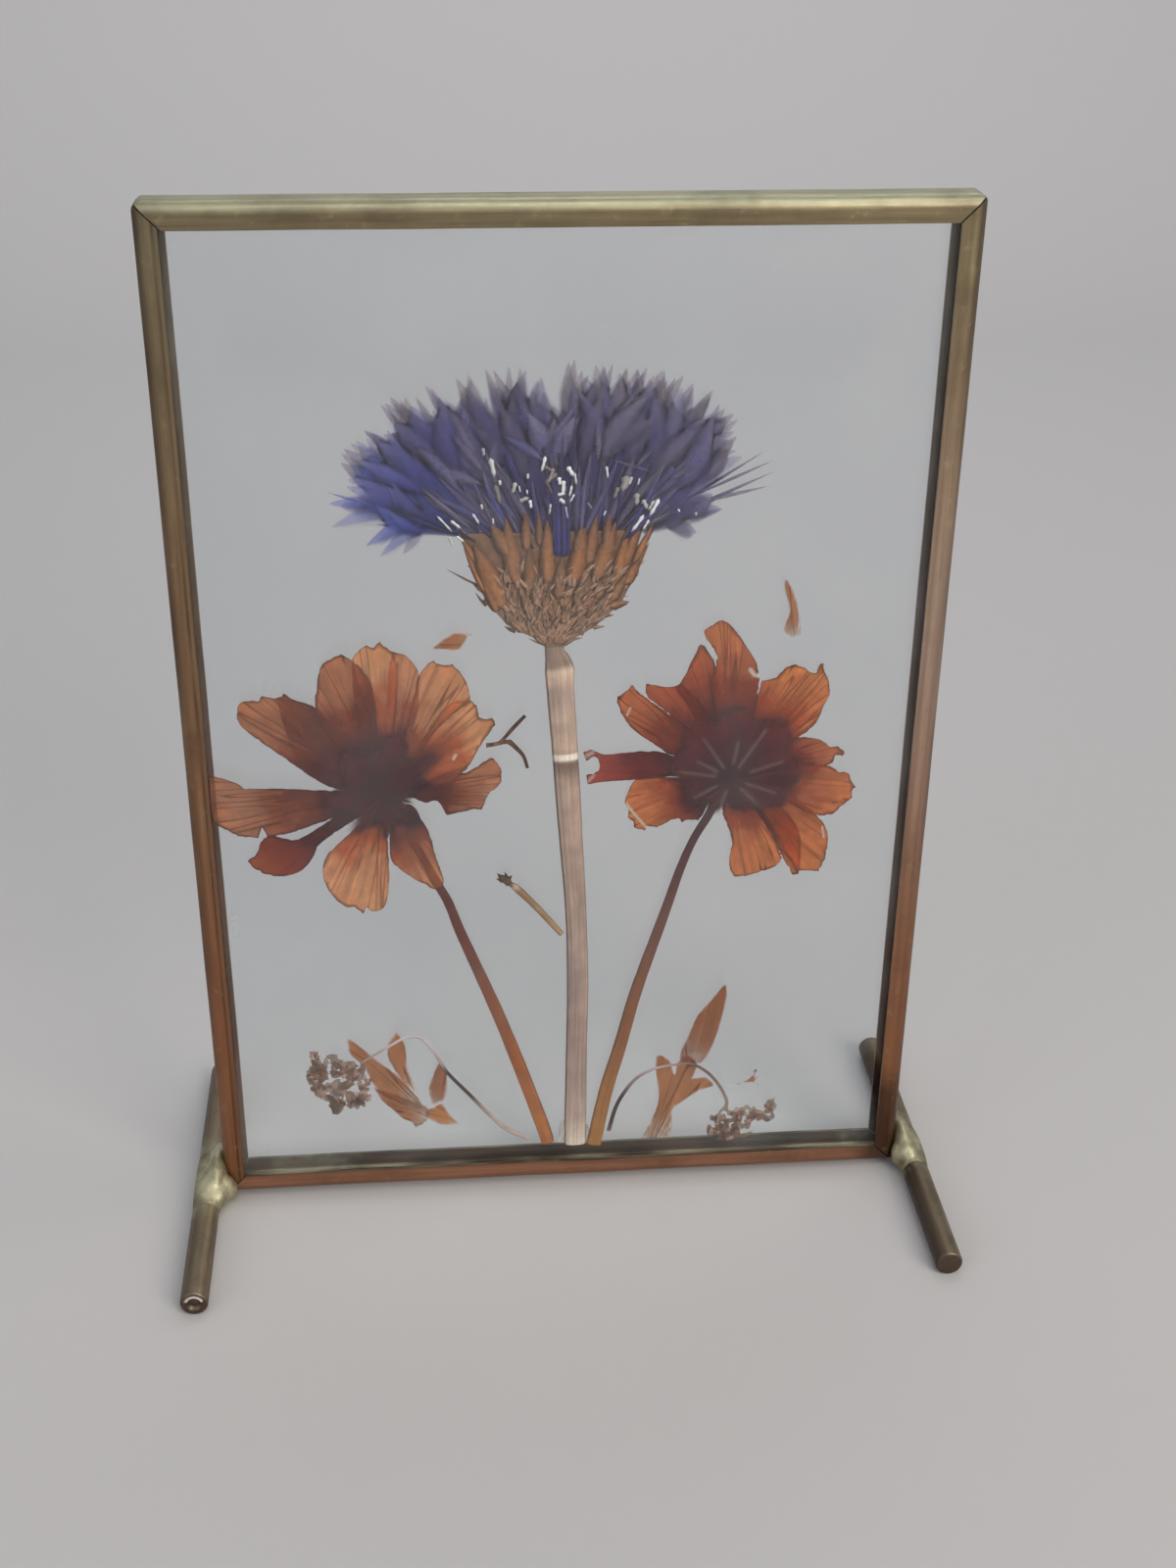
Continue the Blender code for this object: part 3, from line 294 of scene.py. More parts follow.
def clearGlass(name, look):
    # thin picture glass, clear, with a faint uneven film and a few greasy touches
    material, add = newMaterial(name)
    spot = add("TexCoord").outputs["Object"]
    haze = add("TexNoise", {
        "Vector": spot, "Scale": 1 / (look["filmMm"] * mm), "Detail": 5.0, "Roughness": 0.65})
    film = add("MapRange", {"Value": haze, "From Min": 0.45, "From Max": 0.8, "To Max": look["film"]})
    fine = add("TexNoise", {"Vector": spot, "Scale": 1 / (0.7 * mm), "Detail": 4.0, "Roughness": 0.7})
    broken = add("MapRange", {"Value": fine, "From Min": 0.5, "From Max": 0.66})
    share = film
    for (x, z), (width, height), white in look["touches"]:
        shifted = add("Mapping", {
            "Vector": spot, "Location": (x * mm, 0.0, z * mm),
            "Scale": (width * mm, 1.0, height * mm)}, vector_type="TEXTURE")
        distance = add("VectorMath", {0: shifted}, operation="LENGTH")
        near = add("MapRange", {
            "Value": distance.outputs["Value"], "From Min": 1.0, "From Max": 0.2, "To Max": white})
        touch = add("Math", {0: near, 1: broken}, operation="MULTIPLY")
        share = add("Math", {0: share, 1: touch}, operation="MAXIMUM")
    glass = add("BsdfPrincipled", {
        "Base Color": "#f8fafb", "Roughness": 0.0, "IOR": 1.45, "Transmission Weight": 1.0})
    grease = add("BsdfPrincipled", {"Base Color": "#e6e6e2", "Roughness": 0.5})
    surface = add("MixShader", {0: share, 1: glass, 2: grease})
    # lamps shine through, so that what lies between the panes is lit
    ray = add("LightPath")
    clear = add("BsdfTransparent", {0: "#f4f6f7"})
    both = add("MixShader", {0: ray.outputs["Is Shadow Ray"], 1: surface, 2: clear})
    add("OutputMaterial", {0: both})
    return material


petalFinish = {
    # a sheet has two faces, so light is filtered twice
    "light": ((0.0, "#421824"), (0.14, "#6e2c26"), (0.36, "#cc6c3a"), (0.7, "#ffb276"), (1.0, "#fcac6c")),
    "dark": ((0.0, "#2c0e1a"), (0.3, "#58141a"), (0.65, "#8e2c1a"), (1.0, "#b44e28")),
    "through": (0.05, 0.78), "deepen": 0.34, "glow": 0.3, "veins": 14.0, "streaks": 18.0,
    "mottleMm": 0.8, "cloudMm": 3.6, "vein": "#5a2a1c", "rim": "#42200f",
}
rightPetalFinish = dict(petalFinish, light=(
    (0.0, "#421824"), (0.14, "#6c2822"), (0.36, "#c45a28"), (0.7, "#fa9448"), (1.0, "#f69446")),
    dark=((0.0, "#300e18"), (0.3, "#6a181a"), (0.65, "#a83020"), (1.0, "#c04e28")))
leafFinish = dict(
    petalFinish, light=((0.0, "#f0e2d2"), (0.16, "#dcb08a"), (0.36, "#d48c54"), (1.0, "#c87e46")),
    dark=((0.0, "#b8907a"), (0.3, "#a45a34"), (1.0, "#a2562c")), veins=5.0, streaks=8.0,
    rim="#7c4a2c", through=(0.9, 0.72), softRim=0.3)
heartFinish = dict(
    petalFinish, light=((0.0, "#2a0c18"), (0.4, "#42121c"), (1.0, "#5c181c")),
    dark=((0.0, "#2a0c18"), (0.3, "#42121c"), (0.6, "#56161e"), (1.0, "#6a1e20")),
    through=(0.0, 0.12), veins=3.0, streaks=5.0, contrast=(0.6, 1.5), cloudMm=2.2, softRim=1.3,
    rim="#5a1a22")
filamentFinish = dict(petalFinish, light=((0.0, "#c09a7c"), (0.5, "#8a6248"), (1.0, "#3a261e")),
                      dark=((0.0, "#c09a7c"), (0.5, "#8a6248"), (1.0, "#3a261e")), through=(0.1, 0.2))
fanFinish = dict(
    petalFinish, light=((0.0, "#382f48"), (0.4, "#4c4478"), (0.75, "#665e90"), (1.0, "#948ca6")),
    dark=((0.0, "#282c6a"), (0.4, "#3e48a0"), (0.75, "#5a66b8"), (1.0, "#848cc6")), through=(0.1, 0.4),
    deepen=0.3, streaks=14.0, stretch=2.2, contrast=(0.88, 1.16), veins=10.0, veinShare=0.15,
    vein="#2c2546", rim="#978b96", mottleMm=0.9, cloudMm=4.0, softRim=2.0)


def pressedPetal(name, look):
    # a dried petal, thin as tissue: light comes through it, so it darkens where two lie together;
    # veins and fine streaks run out from its foot and its torn rim is darker in places
    material, add = newMaterial(name)
    value = {key: add("Attribute", attribute_name=key).outputs["Fac"]
             for key in ("along", "across", "rim", "tone", "mark")}
    spot = add("TexCoord").outputs["Object"]
    fanned = add("CombineXYZ", {0: value["across"], 1: value["along"], 2: value["tone"]})
    narrow = add("Mapping", {"Vector": fanned, "Scale": (look["streaks"], look.get("stretch", 0.9), 7.0)})
    streak = add("TexNoise", {"Vector": narrow, "Scale": 1.0, "Detail": 4.0, "Roughness": 0.62})
    drawn = add("Mapping", {"Vector": fanned, "Scale": (look["veins"], 0.55, 11.0)})
    hill = add("TexNoise", {"Vector": drawn, "Scale": 1.0, "Detail": 1.0})
    # a vein runs where the slow noise crosses its middle value
    level = add("Math", {0: hill, 1: 0.5}, operation="SUBTRACT")
    offset = add("Math", {0: level}, operation="ABSOLUTE")
    vein = add("MapRange", {
        "Value": offset, "From Min": 0.0, "From Max": 0.022,
        "To Min": look.get("veinShare", 0.8), "To Max": 0.0})
    mottle = add("TexNoise", {
        "Vector": spot, "Scale": 1 / (look["mottleMm"] * mm), "Detail": 4.0, "Roughness": 0.6})
    cloud = add("TexNoise", {"Vector": spot, "Scale": 1 / (look["cloudMm"] * mm), "Detail": 2.0})
    shifted = add("Math", {0: cloud, 1: 0.6, 2: -0.3}, operation="MULTIPLY_ADD")
    along = add("Math", {0: value["along"], 1: shifted}, operation="ADD", use_clamp=True)
    light = add("ValToRGB", {0: along}, stops=look["light"])
    dark = add("ValToRGB", {0: along}, stops=look["dark"])
    body = add("Mix", {0: value["tone"], 6: light, 7: dark}, data_type="RGBA")
    weak, strong = look.get("contrast", (0.74, 1.26))
    lines = add("MapRange", {"Value": streak, **noiseSpan, "To Min": weak, "To Max": strong})
    spots = add("MapRange", {"Value": mottle, **noiseSpan, "To Min": 0.86, "To Max": 1.14})
    both = add("Math", {0: lines, 1: spots}, operation="MULTIPLY")
    streaked = add("VectorMath", {0: body.outputs[2], "Scale": both}, operation="SCALE")
    veined = add("Mix", {0: vein, 6: streaked, 7: look["vein"]}, data_type="RGBA")
    curled = add("MapRange", {
        "Value": cloud, "From Min": 0.42, "From Max": 0.6, "To Min": 0.1, "To Max": 0.5})
    rimShare = add("MapRange", {"Value": value["rim"], "From Min": curled, "From Max": 0.0, "To Max": 0.88})
    rimmed = add("Mix", {0: rimShare, 6: veined.outputs[2], 7: look["rim"]}, data_type="RGBA")
    # pale marks: white torn edges, partly painted glints
    pale = add("MapRange", {"Value": value["mark"], "From Min": 0.25, "From Max": 0.8})
    creased = add("MapRange", {"Value": value["mark"], "From Min": -0.2, "From Max": -0.8, "To Max": 0.7})
    marked = add("Mix", {0: pale, 6: rimmed.outputs[2], 7: "#e4d6c4"}, data_type="RGBA")
    colour = add("Mix", {0: creased, 6: marked.outputs[2], 7: "#2c1718"}, data_type="RGBA")
    relief = add("Bump", {"Strength": 0.5, "Distance": 0.05 * mm, "Height": streak})
    crepe = add("Bump", {"Strength": 0.35, "Distance": 0.05 * mm, "Height": mottle, "Normal": relief})
    skin = add("BsdfPrincipled", {
        "Base Color": colour.outputs[2], "Roughness": 0.72, "Specular IOR Level": 0.12,
        "Normal": crepe})
    glow = add("BsdfTranslucent", {0: colour.outputs[2], "Normal": crepe})
    thin = add("MixShader", {0: look["glow"], 1: skin, 2: glow})
    # what comes through is filtered by the same colour, a little lighter
    filtered = add("Gamma", {0: colour.outputs[2], 1: look["deepen"]})
    least, most = look["through"]
    openness = add("MapRange", {
        "Value": along, "From Min": 0.1, "From Max": 0.5, "To Min": least, "To Max": most})
    # veins and the curled rim are thicker
    ribs = add("Math", {0: vein, 1: rimShare}, operation="MAXIMUM")
    closed = add("MapRange", {"Value": ribs, "To Min": 1.0, "To Max": 0.3})
    share = add("Math", {0: openness, 1: closed}, operation="MULTIPLY")
    tint = filtered
    if "softRim" in look:
        # a rim so frayed that it only fades out
        frayed = add("MapRange", {
            "Value": streak, **noiseSpan, "To Min": look["softRim"] * 0.3, "To Max": look["softRim"] * 1.7})
        fading = add("MapRange", {
            "Value": value["rim"], "From Min": frayed, "From Max": 0.0, "To Max": 0.98},
            interpolation_type="SMOOTHSTEP")
        # both faces of the sheet filter the light
        perFace = add("Math", {0: fading}, operation="SQRT")
        share = add("Math", {0: share, 1: perFace}, operation="MAXIMUM")
        pure = add("MapRange", {"Value": perFace, "From Max": 0.35})
        tint = add("Mix", {0: pure, 6: filtered, 7: "#ffffff"}, data_type="RGBA").outputs[2]
    through = add("BsdfTransparent", {0: tint})
    surface = add("MixShader", {0: share, 1: thin, 2: through})
    add("OutputMaterial", {0: surface})
    return material


floretFinish = {
    "violet": ((0.0, "#3a3046"), (0.3, "#453c6a"), (0.6, "#504880"), (0.85, "#5e5686"), (1.0, "#887e98")),
    "blue": ((0.0, "#2a2c6c"), (0.4, "#3a449e"), (0.75, "#505eb8"), (1.0, "#7a86ce")),
    "halo": "#958a88", "tint": "#fbfafd",
}


def pressedFloret(name, look):
    # dried cornflower florets: grey violet, blue where they kept their dye, thin and see-through
    #     # at the tips, with pale bits between them that are partly dry chaff and partly painted glints
    material, add = newMaterial(name)
    value = {key: add("Attribute", attribute_name=key).outputs["Fac"]
             for key in ("along", "tone", "blue", "chaff", "thin", "fade", "rim")}
    spot = add("TexCoord").outputs["Object"]
    violet = add("ValToRGB", {0: value["along"]}, stops=look["violet"])
    blue = add("ValToRGB", {0: value["along"]}, stops=look["blue"])
    faded = add("Mix", {0: value["fade"], 6: violet, 7: look["halo"]}, data_type="RGBA")
    dyed = add("Mix", {0: value["blue"], 6: faded.outputs[2], 7: blue}, data_type="RGBA")
    mottle = add("TexNoise", {"Vector": spot, "Scale": 1 / (0.8 * mm), "Detail": 4.0, "Roughness": 0.6})
    spots = add("MapRange", {"Value": mottle, **noiseSpan, "To Min": 0.87, "To Max": 1.14})
    shade = add("Math", {0: spots, 1: value["tone"]}, operation="MULTIPLY")
    toned = add("VectorMath", {0: dyed.outputs[2], "Scale": shade}, operation="SCALE")
    # tan chaff, and white slivers that are painted glints
    husk = add("Mix", {0: value["tone"], 6: "#5d4236", 7: "#ffffff"}, data_type="RGBA")
    colour = add("Mix", {0: value["chaff"], 6: toned, 7: husk.outputs[2]}, data_type="RGBA")
    skin = add("BsdfPrincipled", {
        "Base Color": colour.outputs[2], "Roughness": 0.7, "Specular IOR Level": 0.12})
    glow = add("BsdfTranslucent", {0: colour.outputs[2]})
    thin = add("MixShader", {0: 0.25, 1: skin, 2: glow})
    through = add("BsdfTransparent", {0: look["tint"]})
    # its margins are thinner still
    margin = add("MapRange", {"Value": value["rim"], "From Min": 0.4, "From Max": 1.0, "To Max": 0.5},
                 interpolation_type="SMOOTHSTEP")
    grown = add("Math", {0: 1.0, 1: value["chaff"]}, operation="SUBTRACT")
    soft = add("Math", {0: margin, 1: grown}, operation="MULTIPLY")
    openness = add("Math", {0: value["thin"], 1: soft}, operation="ADD", use_clamp=True)
    surface = add("MixShader", {0: openness, 1: thin, 2: through})
    add("OutputMaterial", {0: surface})
    return material


def dryHusk(name, stops, lowStops, edge):
    # bracts and disc grains: papery scales, browner at the rim, greyer and woolly low down
    material, add = newMaterial(name)
    value = {key: add("Attribute", attribute_name=key).outputs["Fac"]
             for key in ("along", "tone", "rim", "level", "thin")}
    spot = add("TexCoord").outputs["Object"]
    mottle = add("TexNoise", {"Vector": spot, "Scale": 1 / (0.6 * mm), "Detail": 4.0, "Roughness": 0.6})
    body = add("ValToRGB", {0: value["along"]}, stops=stops)
    low = add("ValToRGB", {0: value["along"]}, stops=lowStops)
    mixed = add("Mix", {0: value["level"], 6: body, 7: low}, data_type="RGBA")
    spots = add("MapRange", {"Value": mottle, **noiseSpan, "To Min": 0.7, "To Max": 1.18})
    shade = add("Math", {0: spots, 1: value["tone"]}, operation="MULTIPLY")
    toned = add("VectorMath", {0: mixed.outputs[2], "Scale": shade}, operation="SCALE")
    edgeShare = add("Math", {0: value["rim"], 1: 0.26}, operation="MULTIPLY")
    colour = add("Mix", {0: edgeShare, 6: toned, 7: edge}, data_type="RGBA")
    bump = add("Bump", {"Strength": 0.4, "Distance": 0.05 * mm, "Height": mottle})
    skin = add("BsdfPrincipled", {
        "Base Color": colour.outputs[2], "Roughness": 0.75, "Specular IOR Level": 0.12,
        "Normal": bump})
    glow = add("BsdfTranslucent", {0: colour.outputs[2]})
    dry = add("MixShader", {0: 0.15, 1: skin, 2: glow})
    through = add("BsdfTransparent", {0: "#e4dad2"})
    surface = add("MixShader", {0: value["thin"], 1: dry, 2: through})
    add("OutputMaterial", {0: surface})
    return material


def driedStem(name, stops, streaks):
    # a pressed stalk: long fibres, bands of colour by height, scuffed along its ribs
    material, add = newMaterial(name)
    place = add("TexCoord")
    rise = add("Attribute", attribute_name="along").outputs["Fac"]
    around = add("Attribute", attribute_name="around").outputs["Fac"]
    spread = add("CombineXYZ", {0: around, 1: rise})
    drawn = add("Mapping", {"Vector": spread, "Scale": (26.0, 5.0, 1.0)})
    fibre = add("TexNoise", {"Vector": drawn, "Scale": 1.0, "Detail": 5.0, "Roughness": 0.65})
    patch = add("TexNoise", {"Vector": place.outputs["Object"], "Scale": 1 / (2.2 * mm), "Detail": 3.0})
    body = add("ValToRGB", {0: rise}, stops=stops)
    lines = add("MapRange", {
        "Value": fibre, **noiseSpan,
        "To Min": 1.0 - streaks, "To Max": 1.0 + streaks * 0.6})
    blots = add("MapRange", {
        "Value": patch, "From Min": 0.35, "From Max": 0.65, "To Min": 0.86, "To Max": 1.1})
    shade = add("Math", {0: lines, 1: blots}, operation="MULTIPLY")
    lit = add("VectorMath", {0: body, "Scale": shade}, operation="SCALE")
    # its left margin dried darker than its right one
    turned = add("Math", {0: around, 1: 2 * math.pi}, operation="MULTIPLY")
    side = add("Math", {0: turned}, operation="SINE")
    acrossIt = add("Math", {0: side, 1: 0.5, 2: 0.5}, operation="MULTIPLY_ADD")
    margin = add("ValToRGB", {0: acrossIt}, stops=(
        (0.0, "#877870"), (0.06, "#ffffff"), (0.94, "#ffffff"), (1.0, "#b8aca4")))
    colour = add("VectorMath", {0: lit, 1: margin}, operation="MULTIPLY")
    bump = add("Bump", {"Strength": 0.5, "Distance": 0.05 * mm, "Height": fibre})
    shader = add("BsdfPrincipled", {
        "Base Color": colour, "Roughness": 0.68, "Specular IOR Level": 0.15,
        "Normal": bump})
    add("OutputMaterial", {0: shader})
    return material


# frame

channelShape = {
    "width": 91.0, "depth": 5.0, "lip": 3.0, "wall": 0.4,
    "round": 1.5, "corner": 1.3, "mitreGap": 0.12, "foldSteps": 12, "stationMm": 2.5, "wavyMm": 0.05,
    # solder smears inside the bottom channel: middle and half length
    "smears": ((-34.0, 8.0), (41.0, 4.0)),
    # length, turn, place, width of the front lip, then how dark its outer folds are, a painted shade, how
    # dark its inside and the stain
    #     # along its front are, and how much lighter and greyer its middle is made
    "sides": {
        "channel_top": (91.0, 0, (0, 130.8), 3.0, (0.0, 0.1, 0.2), 0.0),
        "channel_bottom": (91.0, 2, (0, 0.8), 3.0, (0.55, 1.0, 0.15), 0.15),
        "channel_left": (130.0, -1, (-45.5, 65.8), 2.62, (0.7, 0.2, 0.75), 0.0),
        "channel_right": (130.0, 1, (45.5, 65.8), 2.9, (0.45, 0.12, 0.25), 0.5)},
}


def channelProfile(shape, frontLip, fold, inner, stain):
    # points (inward, depth) round the folded U, open towards the glass, and how dark each is; the dark on
    # the outer folds is painted shade
    half, radius, wall = shape["depth"] / 2, shape["round"], shape["wall"]
    turns = [math.pi / 2 * step / shape["foldSteps"] for step in range(shape["foldSteps"] + 1)]

    def bend(side, size, order, dark):
        return [(radius - size * math.cos(t), side * (half - radius + size * math.sin(t)),
                 dark * (math.cos(t) if side < 0 else 1.0)) for t in order]

    front = ((0.0, max(0.25, inner)), (0.24, 0.1), (0.5, stain), (0.8, 0.0))
    outside = ([(frontLip - back, -half, dark) for back, dark in front]
               + bend(-1, radius, turns[::-1], fold) + bend(1, radius, turns, fold))
    inside = bend(1, radius - wall, turns[::-1], inner) + bend(-1, radius - wall, turns, fold)
    return (outside + [(shape["lip"], half, max(0.3, inner)), (shape["lip"], half - wall, inner)] + inside
            + [(frontLip, wall - half, max(0.6, inner))])


def makeChannel(name, shape, material):
    length, quarter, (placeX, placeZ), frontLip, dark, rubbed = shape["sides"][name]
    profile = channelProfile(shape, frontLip, *dark)
    stations = max(8, round(length / shape["stationMm"]))
    near = [1 - 0.6 * k / length for k in range(1, 7)]
    shares = sorted([2 * s / stations - 1 for s in range(stations + 1)] + near + [-share for share in near])
    corner = shape["corner"]
    turn = quarter * math.pi / 2
    place = Matrix.Translation(Vector((placeX, 0, placeZ))) @ Matrix.Rotation(turn, 4, "Y")
    points, runs, girths, patinaAndShadeValues, polish, tinned = [], [], [], [], [], []
    girth = [0.0]
    for (a, b, _), (c, d, _) in zip(profile, profile[1:]):
        girth.append(girth[-1] + math.hypot(c - a, d - b))
    for share in shares:
        for (inward, depth, patina), around in zip(profile, girth):
            # the outer corner is rounded, and both lengths meet on the mitre
            meet = max(inward, corner * (1 - math.sqrt(0.5)))
            x = share * (length / 2 - meet - shape["mitreGap"])
            over = max(0.0, abs(x) - (length / 2 - corner))
            inward = max(inward, corner - math.sqrt(corner ** 2 - over ** 2))
            # hand-folded sheet is never quite straight, and only ever lies inside its true line
            sway = noise.noise(Vector((x * 0.06, depth * 0.2, turn))) + 0.6
            sag = noise.noise(Vector((x * 0.09 + 7, turn, 3.0))) + 0.6
            bend = shape["wavyMm"] * max(0.0, sag) * (1 - abs(share) ** 8)
            squeeze = 1 - shape["wavyMm"] * 0.5 * max(0.0, sway)
            point = place @ Vector((x, depth * squeeze, -inward - bend))
            points.append(point * mm)
            polish.append(rubbed * math.exp(-((point.z - 76) / 30) ** 2) if abs(quarter) == 1 else rubbed)
            runs.append(x + 200 * quarter)
            girths.append(around)
            # the flame scorched the corner by the right rod, and solder smeared the bottom channel's inside
            scorch = 0.75 * min(1.0, max(0.0, (17 - point.z) / 4)) * min(1.0, max(0.0, (point.x - 39) / 3))
            patinaAndShadeValues.append(max(scorch, patina * (0.8 + 0.7 * noise.noise(
                Vector((x * 0.15, around * 0.4, 9.0 + turn))))))
            deepest = shape["depth"] / 2 - shape["wall"]
            isInside = inward >= shape["wall"] - 1e-6 and abs(depth) <= deepest + 1e-6
            smear = max(1 - ((point.x - middle) / half) ** 2 for middle, half in shape["smears"])
            tinned.append(0.9 * max(0.0, smear) if isInside and quarter == 2 else 0.0)
    faces = ringFaces(len(shares), len(profile))
    piece = turnOutwards(meshObject(name + "_folded", points, faces, material, {
        "run": runs, "girth": girths, "patina": patinaAndShadeValues, "polish": polish, "tinned": tinned}))
    piece.data.set_sharp_from_angle(angle=math.radians(40))
    return settle(piece, [name])


rodShape = {"radius": 1.75, "length": 48.8, "edge": 0.35, "sides": 48, "joint": 0.4,
            "height": 1.7285, "dimple": 1.0, "dimpleDepth": 0.3, "stationMm": 1.2,
            # where the solder thinned out over each rod: from, to
            "tinned": {"foot_left": (-9.4, 6.5), "foot_right": (-6.4, 5.5)}}


def makeRod(name, side, dimple, shape, material):
    # turned profile (distance along, radius) from the front end's middle to the back end's
    radius, half, edge = shape["radius"], shape["length"] / 2, shape["edge"]
    corner = [(half - edge + edge * math.sin(t), radius - edge + edge * math.cos(t))
              for t in (math.pi / 2 * k / 6 for k in range(7))]
    front = [(-y, r) for y, r in reversed(corner)]
    if dimple:
        # a punched ring with a raised lip
        bowl = [(0.0, 0.2), (0.3, 0.28), (0.62, 0.3), (0.78, 0.12), (0.9, 0.0), (1.0, -0.06), (1.12, 0.0)]
        front = [(-half + deep * shape["dimpleDepth"] / 0.3 + 0.06, r * shape["dimple"])
                 for r, deep in bowl] + front
    else:
        front = [(-half, 0.0), (-half, radius * 0.5)] + front
    stations = round((shape["length"] - 2 * edge) / shape["stationMm"])
    body = [(-half + edge + (shape["length"] - 2 * edge) * k / stations, radius) for k in range(1, stations)]
    profile = front + body + corner + [(half, radius * 0.5), (half, 0.0)]
    x = side * (channelShape["width"] / 2 + shape["joint"] + shape["radius"])
    sides = shape["sides"]
    points, runs, girths, patinaAndShadeValues, polish, tinned = [], [], [], [], [], []
    first, last = shape["tinned"][name]
    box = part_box(name)
    for number, (y, r) in enumerate(profile):
        onFace = number < len(front) - 4 or number >= len(profile) - 2
        for k in range(sides):
            angle = 2 * math.pi * k / sides
            runs.append(y + 90 * side)
            girths.append(3 * math.sin(angle) + 1.5 * math.cos(angle))
            # painted shade: the side of each rod turned from the light is darker
            shaded = math.cos(angle - math.radians(168 if side > 0 else 190))
            # the upper part of the punched ring gets a painted highlight
            ring = dimple and onFace and 0.85 < r < 1.15 and math.sin(angle) > 0.3
            polish.append(3.0 if ring else 0.0)
            paintedSideShade = (0.8 if side > 0 else 0.6) * max(0.0, shaded)
            patinaAndShadeValues.append(0.0 if ring else 0.45 if onFace else paintedSideShade)
            tinned.append(min(1.0, max(0.0, 0.5 + min(y - first, last - y) / 3.5)))
            dent = 0.03 * max(0.0, noise.noise(Vector((y * 0.4, math.cos(angle), math.sin(angle) + side))))
            point = Vector((x + (r - dent * r) * math.cos(angle), y,
                            shape["height"] + (r - dent * r) * math.sin(angle))) * mm
            points.append(heldIn(point, box))
    faces = ringFaces(len(profile), sides, caps=False)
    piece = turnOutwards(meshObject(name + "_rod", points, faces, material, {
        "run": runs, "girth": girths, "patina": patinaAndShadeValues, "polish": polish, "tinned": tinned}), 1e-6)
    piece.data.set_sharp_from_angle(angle=math.radians(50))
    return settle(piece, [name])


solderShapes = {
    # balls (x, y, z, half sizes) that flow together; x counts from the mid line outwards
    "solder_left": (-1, (
        (47.62, -1.9, 1.85, 2.12, 9.4, 2.1), (46.3, -1.0, 3.9, 1.3, 4.0, 2.5),
        (45.9, -3.1, 2.7, 2.0, 1.5, 2.0), (46.4, -4.1, 2.4, 1.7, 2.4, 1.8),
        (45.0, -2.9, 2.0, 1.6, 1.0, 1.4), (46.9, -2.6, 3.5, 1.6, 3.0, 1.6),
        (46.4, 2.0, 3.4, 1.4, 1.6, 2.4))),
    "solder_right": (1, (
        (47.62, -1.6, 1.85, 2.1, 7.6, 2.1), (46.6, -0.6, 3.8, 1.2, 3.4, 2.4),
        (46.4, -2.9, 2.9, 1.6, 1.3, 1.9), (46.9, -2.8, 3.6, 1.5, 2.4, 1.6),
        (46.0, -3.0, 2.0, 1.2, 1.0, 1.3), (46.5, 1.6, 3.3, 1.3, 1.4, 2.2))),
}


def makeSolder(name, shapes, material):
    side, balls = shapes[name]
    low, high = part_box(name)
    bm = bmesh.new()
    for x, y, z, a, b, c in balls:
        ball = bmesh.ops.create_icosphere(bm, subdivisions=4, radius=1.0)["verts"]
        for vert in ball:
            vert.co = Vector((side * (x + a * vert.co.x), y + b * vert.co.y, z + c * vert.co.z)) * mm
    mesh = bpy.data.meshes.new(name)
    bm.to_mesh(mesh)
    bm.free()
    piece = newObject(name + "_run", mesh)
    remesh = piece.modifiers.new("one skin", "REMESH")
    remesh.mode = "VOXEL"
    remesh.voxel_size = 0.13 * mm
    smooth = piece.modifiers.new("flow", "SMOOTH")
    smooth.factor = 0.6
    smooth.iterations = 46
    flattenModifiers(piece)
    mesh = piece.data
    margins = []
    middle = (low + high) / 2
    half = (high - low) / 2
    for vert in mesh.vertices:
        lump = noise.fractal(vert.co * 350, 0.8, 2.0, 3) * 0.03 * mm
        vert.co += vert.normal * lump
        vert.co = heldIn(vert.co, (low, high))
        away = Vector([(c - m) / h for c, m, h in zip(vert.co, middle, half)]).length
        margins.append(max(0.0, away - 0.8) * 0.6)
    storeValues(mesh, "margin", margins)
    mesh.materials.clear()
    mesh.materials.append(material)
    mesh.shade_smooth()
    return settle(piece, [name])


# flat pressed pieces

def nodeLoop(name):
    # the outline of a flat CAD piece's front face, in mm, anticlockwise from the front
    bm = bmesh.new()
    bm.from_mesh(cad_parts[name].data)
    bmesh.ops.remove_doubles(bm, verts=bm.verts, dist=1e-6)
    bm.verts.index_update()
    level = min(vert.co.y for vert in bm.verts)
    flat = {face for face in bm.faces if all(abs(vert.co.y - level) < 1e-6 for vert in face.verts)}
    following = {}
    for face in flat:
        for loop in face.loops:
            if loop.link_loop_radial_next.face not in flat:
                following[loop.vert.index] = loop.link_loop_next.vert.index
    bm.verts.ensure_lookup_table()
    start = min(following)
    order = [start]
    while following[order[-1]] != start:
        order.append(following[order[-1]])
    outline = [Vector((bm.verts[i].co.x, bm.verts[i].co.z)) / mm for i in order]
    bm.free()
    return outline


def fineOutline(outline, sheet, seed):
    # a rounder, closer outline; its rim is nibbled inwards
    count = len(outline)
    corner = []
    for i in range(count):
        before, after = outline[i] - outline[i - 1], outline[(i + 1) % count] - outline[i]
        corner.append(abs(before.angle_signed(after, 0.0)) > math.radians(42))
    fine = []
    for i in range(count):
        a, b = outline[i], outline[(i + 1) % count]
        step = b - a
        leave = step if corner[i] else (b - outline[i - 1]).normalized() * step.length
        arrive = step if corner[(i + 1) % count] else (
            outline[(i + 2) % count] - a).normalized() * step.length
        parts = max(1, round(step.length / sheet["rimSpacing"]))
        for k in range(parts):
            fine.append(hermite(a, b, leave, arrive, k / parts))
    result = []
    for i, point in enumerate(fine):
        along = (fine[(i + 1) % len(fine)] - fine[i - 1]).normalized()
        inward = Vector((-along.y, along.x))
        bite = noise.fractal(Vector((point.x, point.y, seed)) * sheet["coarse"], 0.75, 2.0, 5)
        result.append(point + inward * sheet["ragged"] * min(1.0, abs(bite)))
    return result


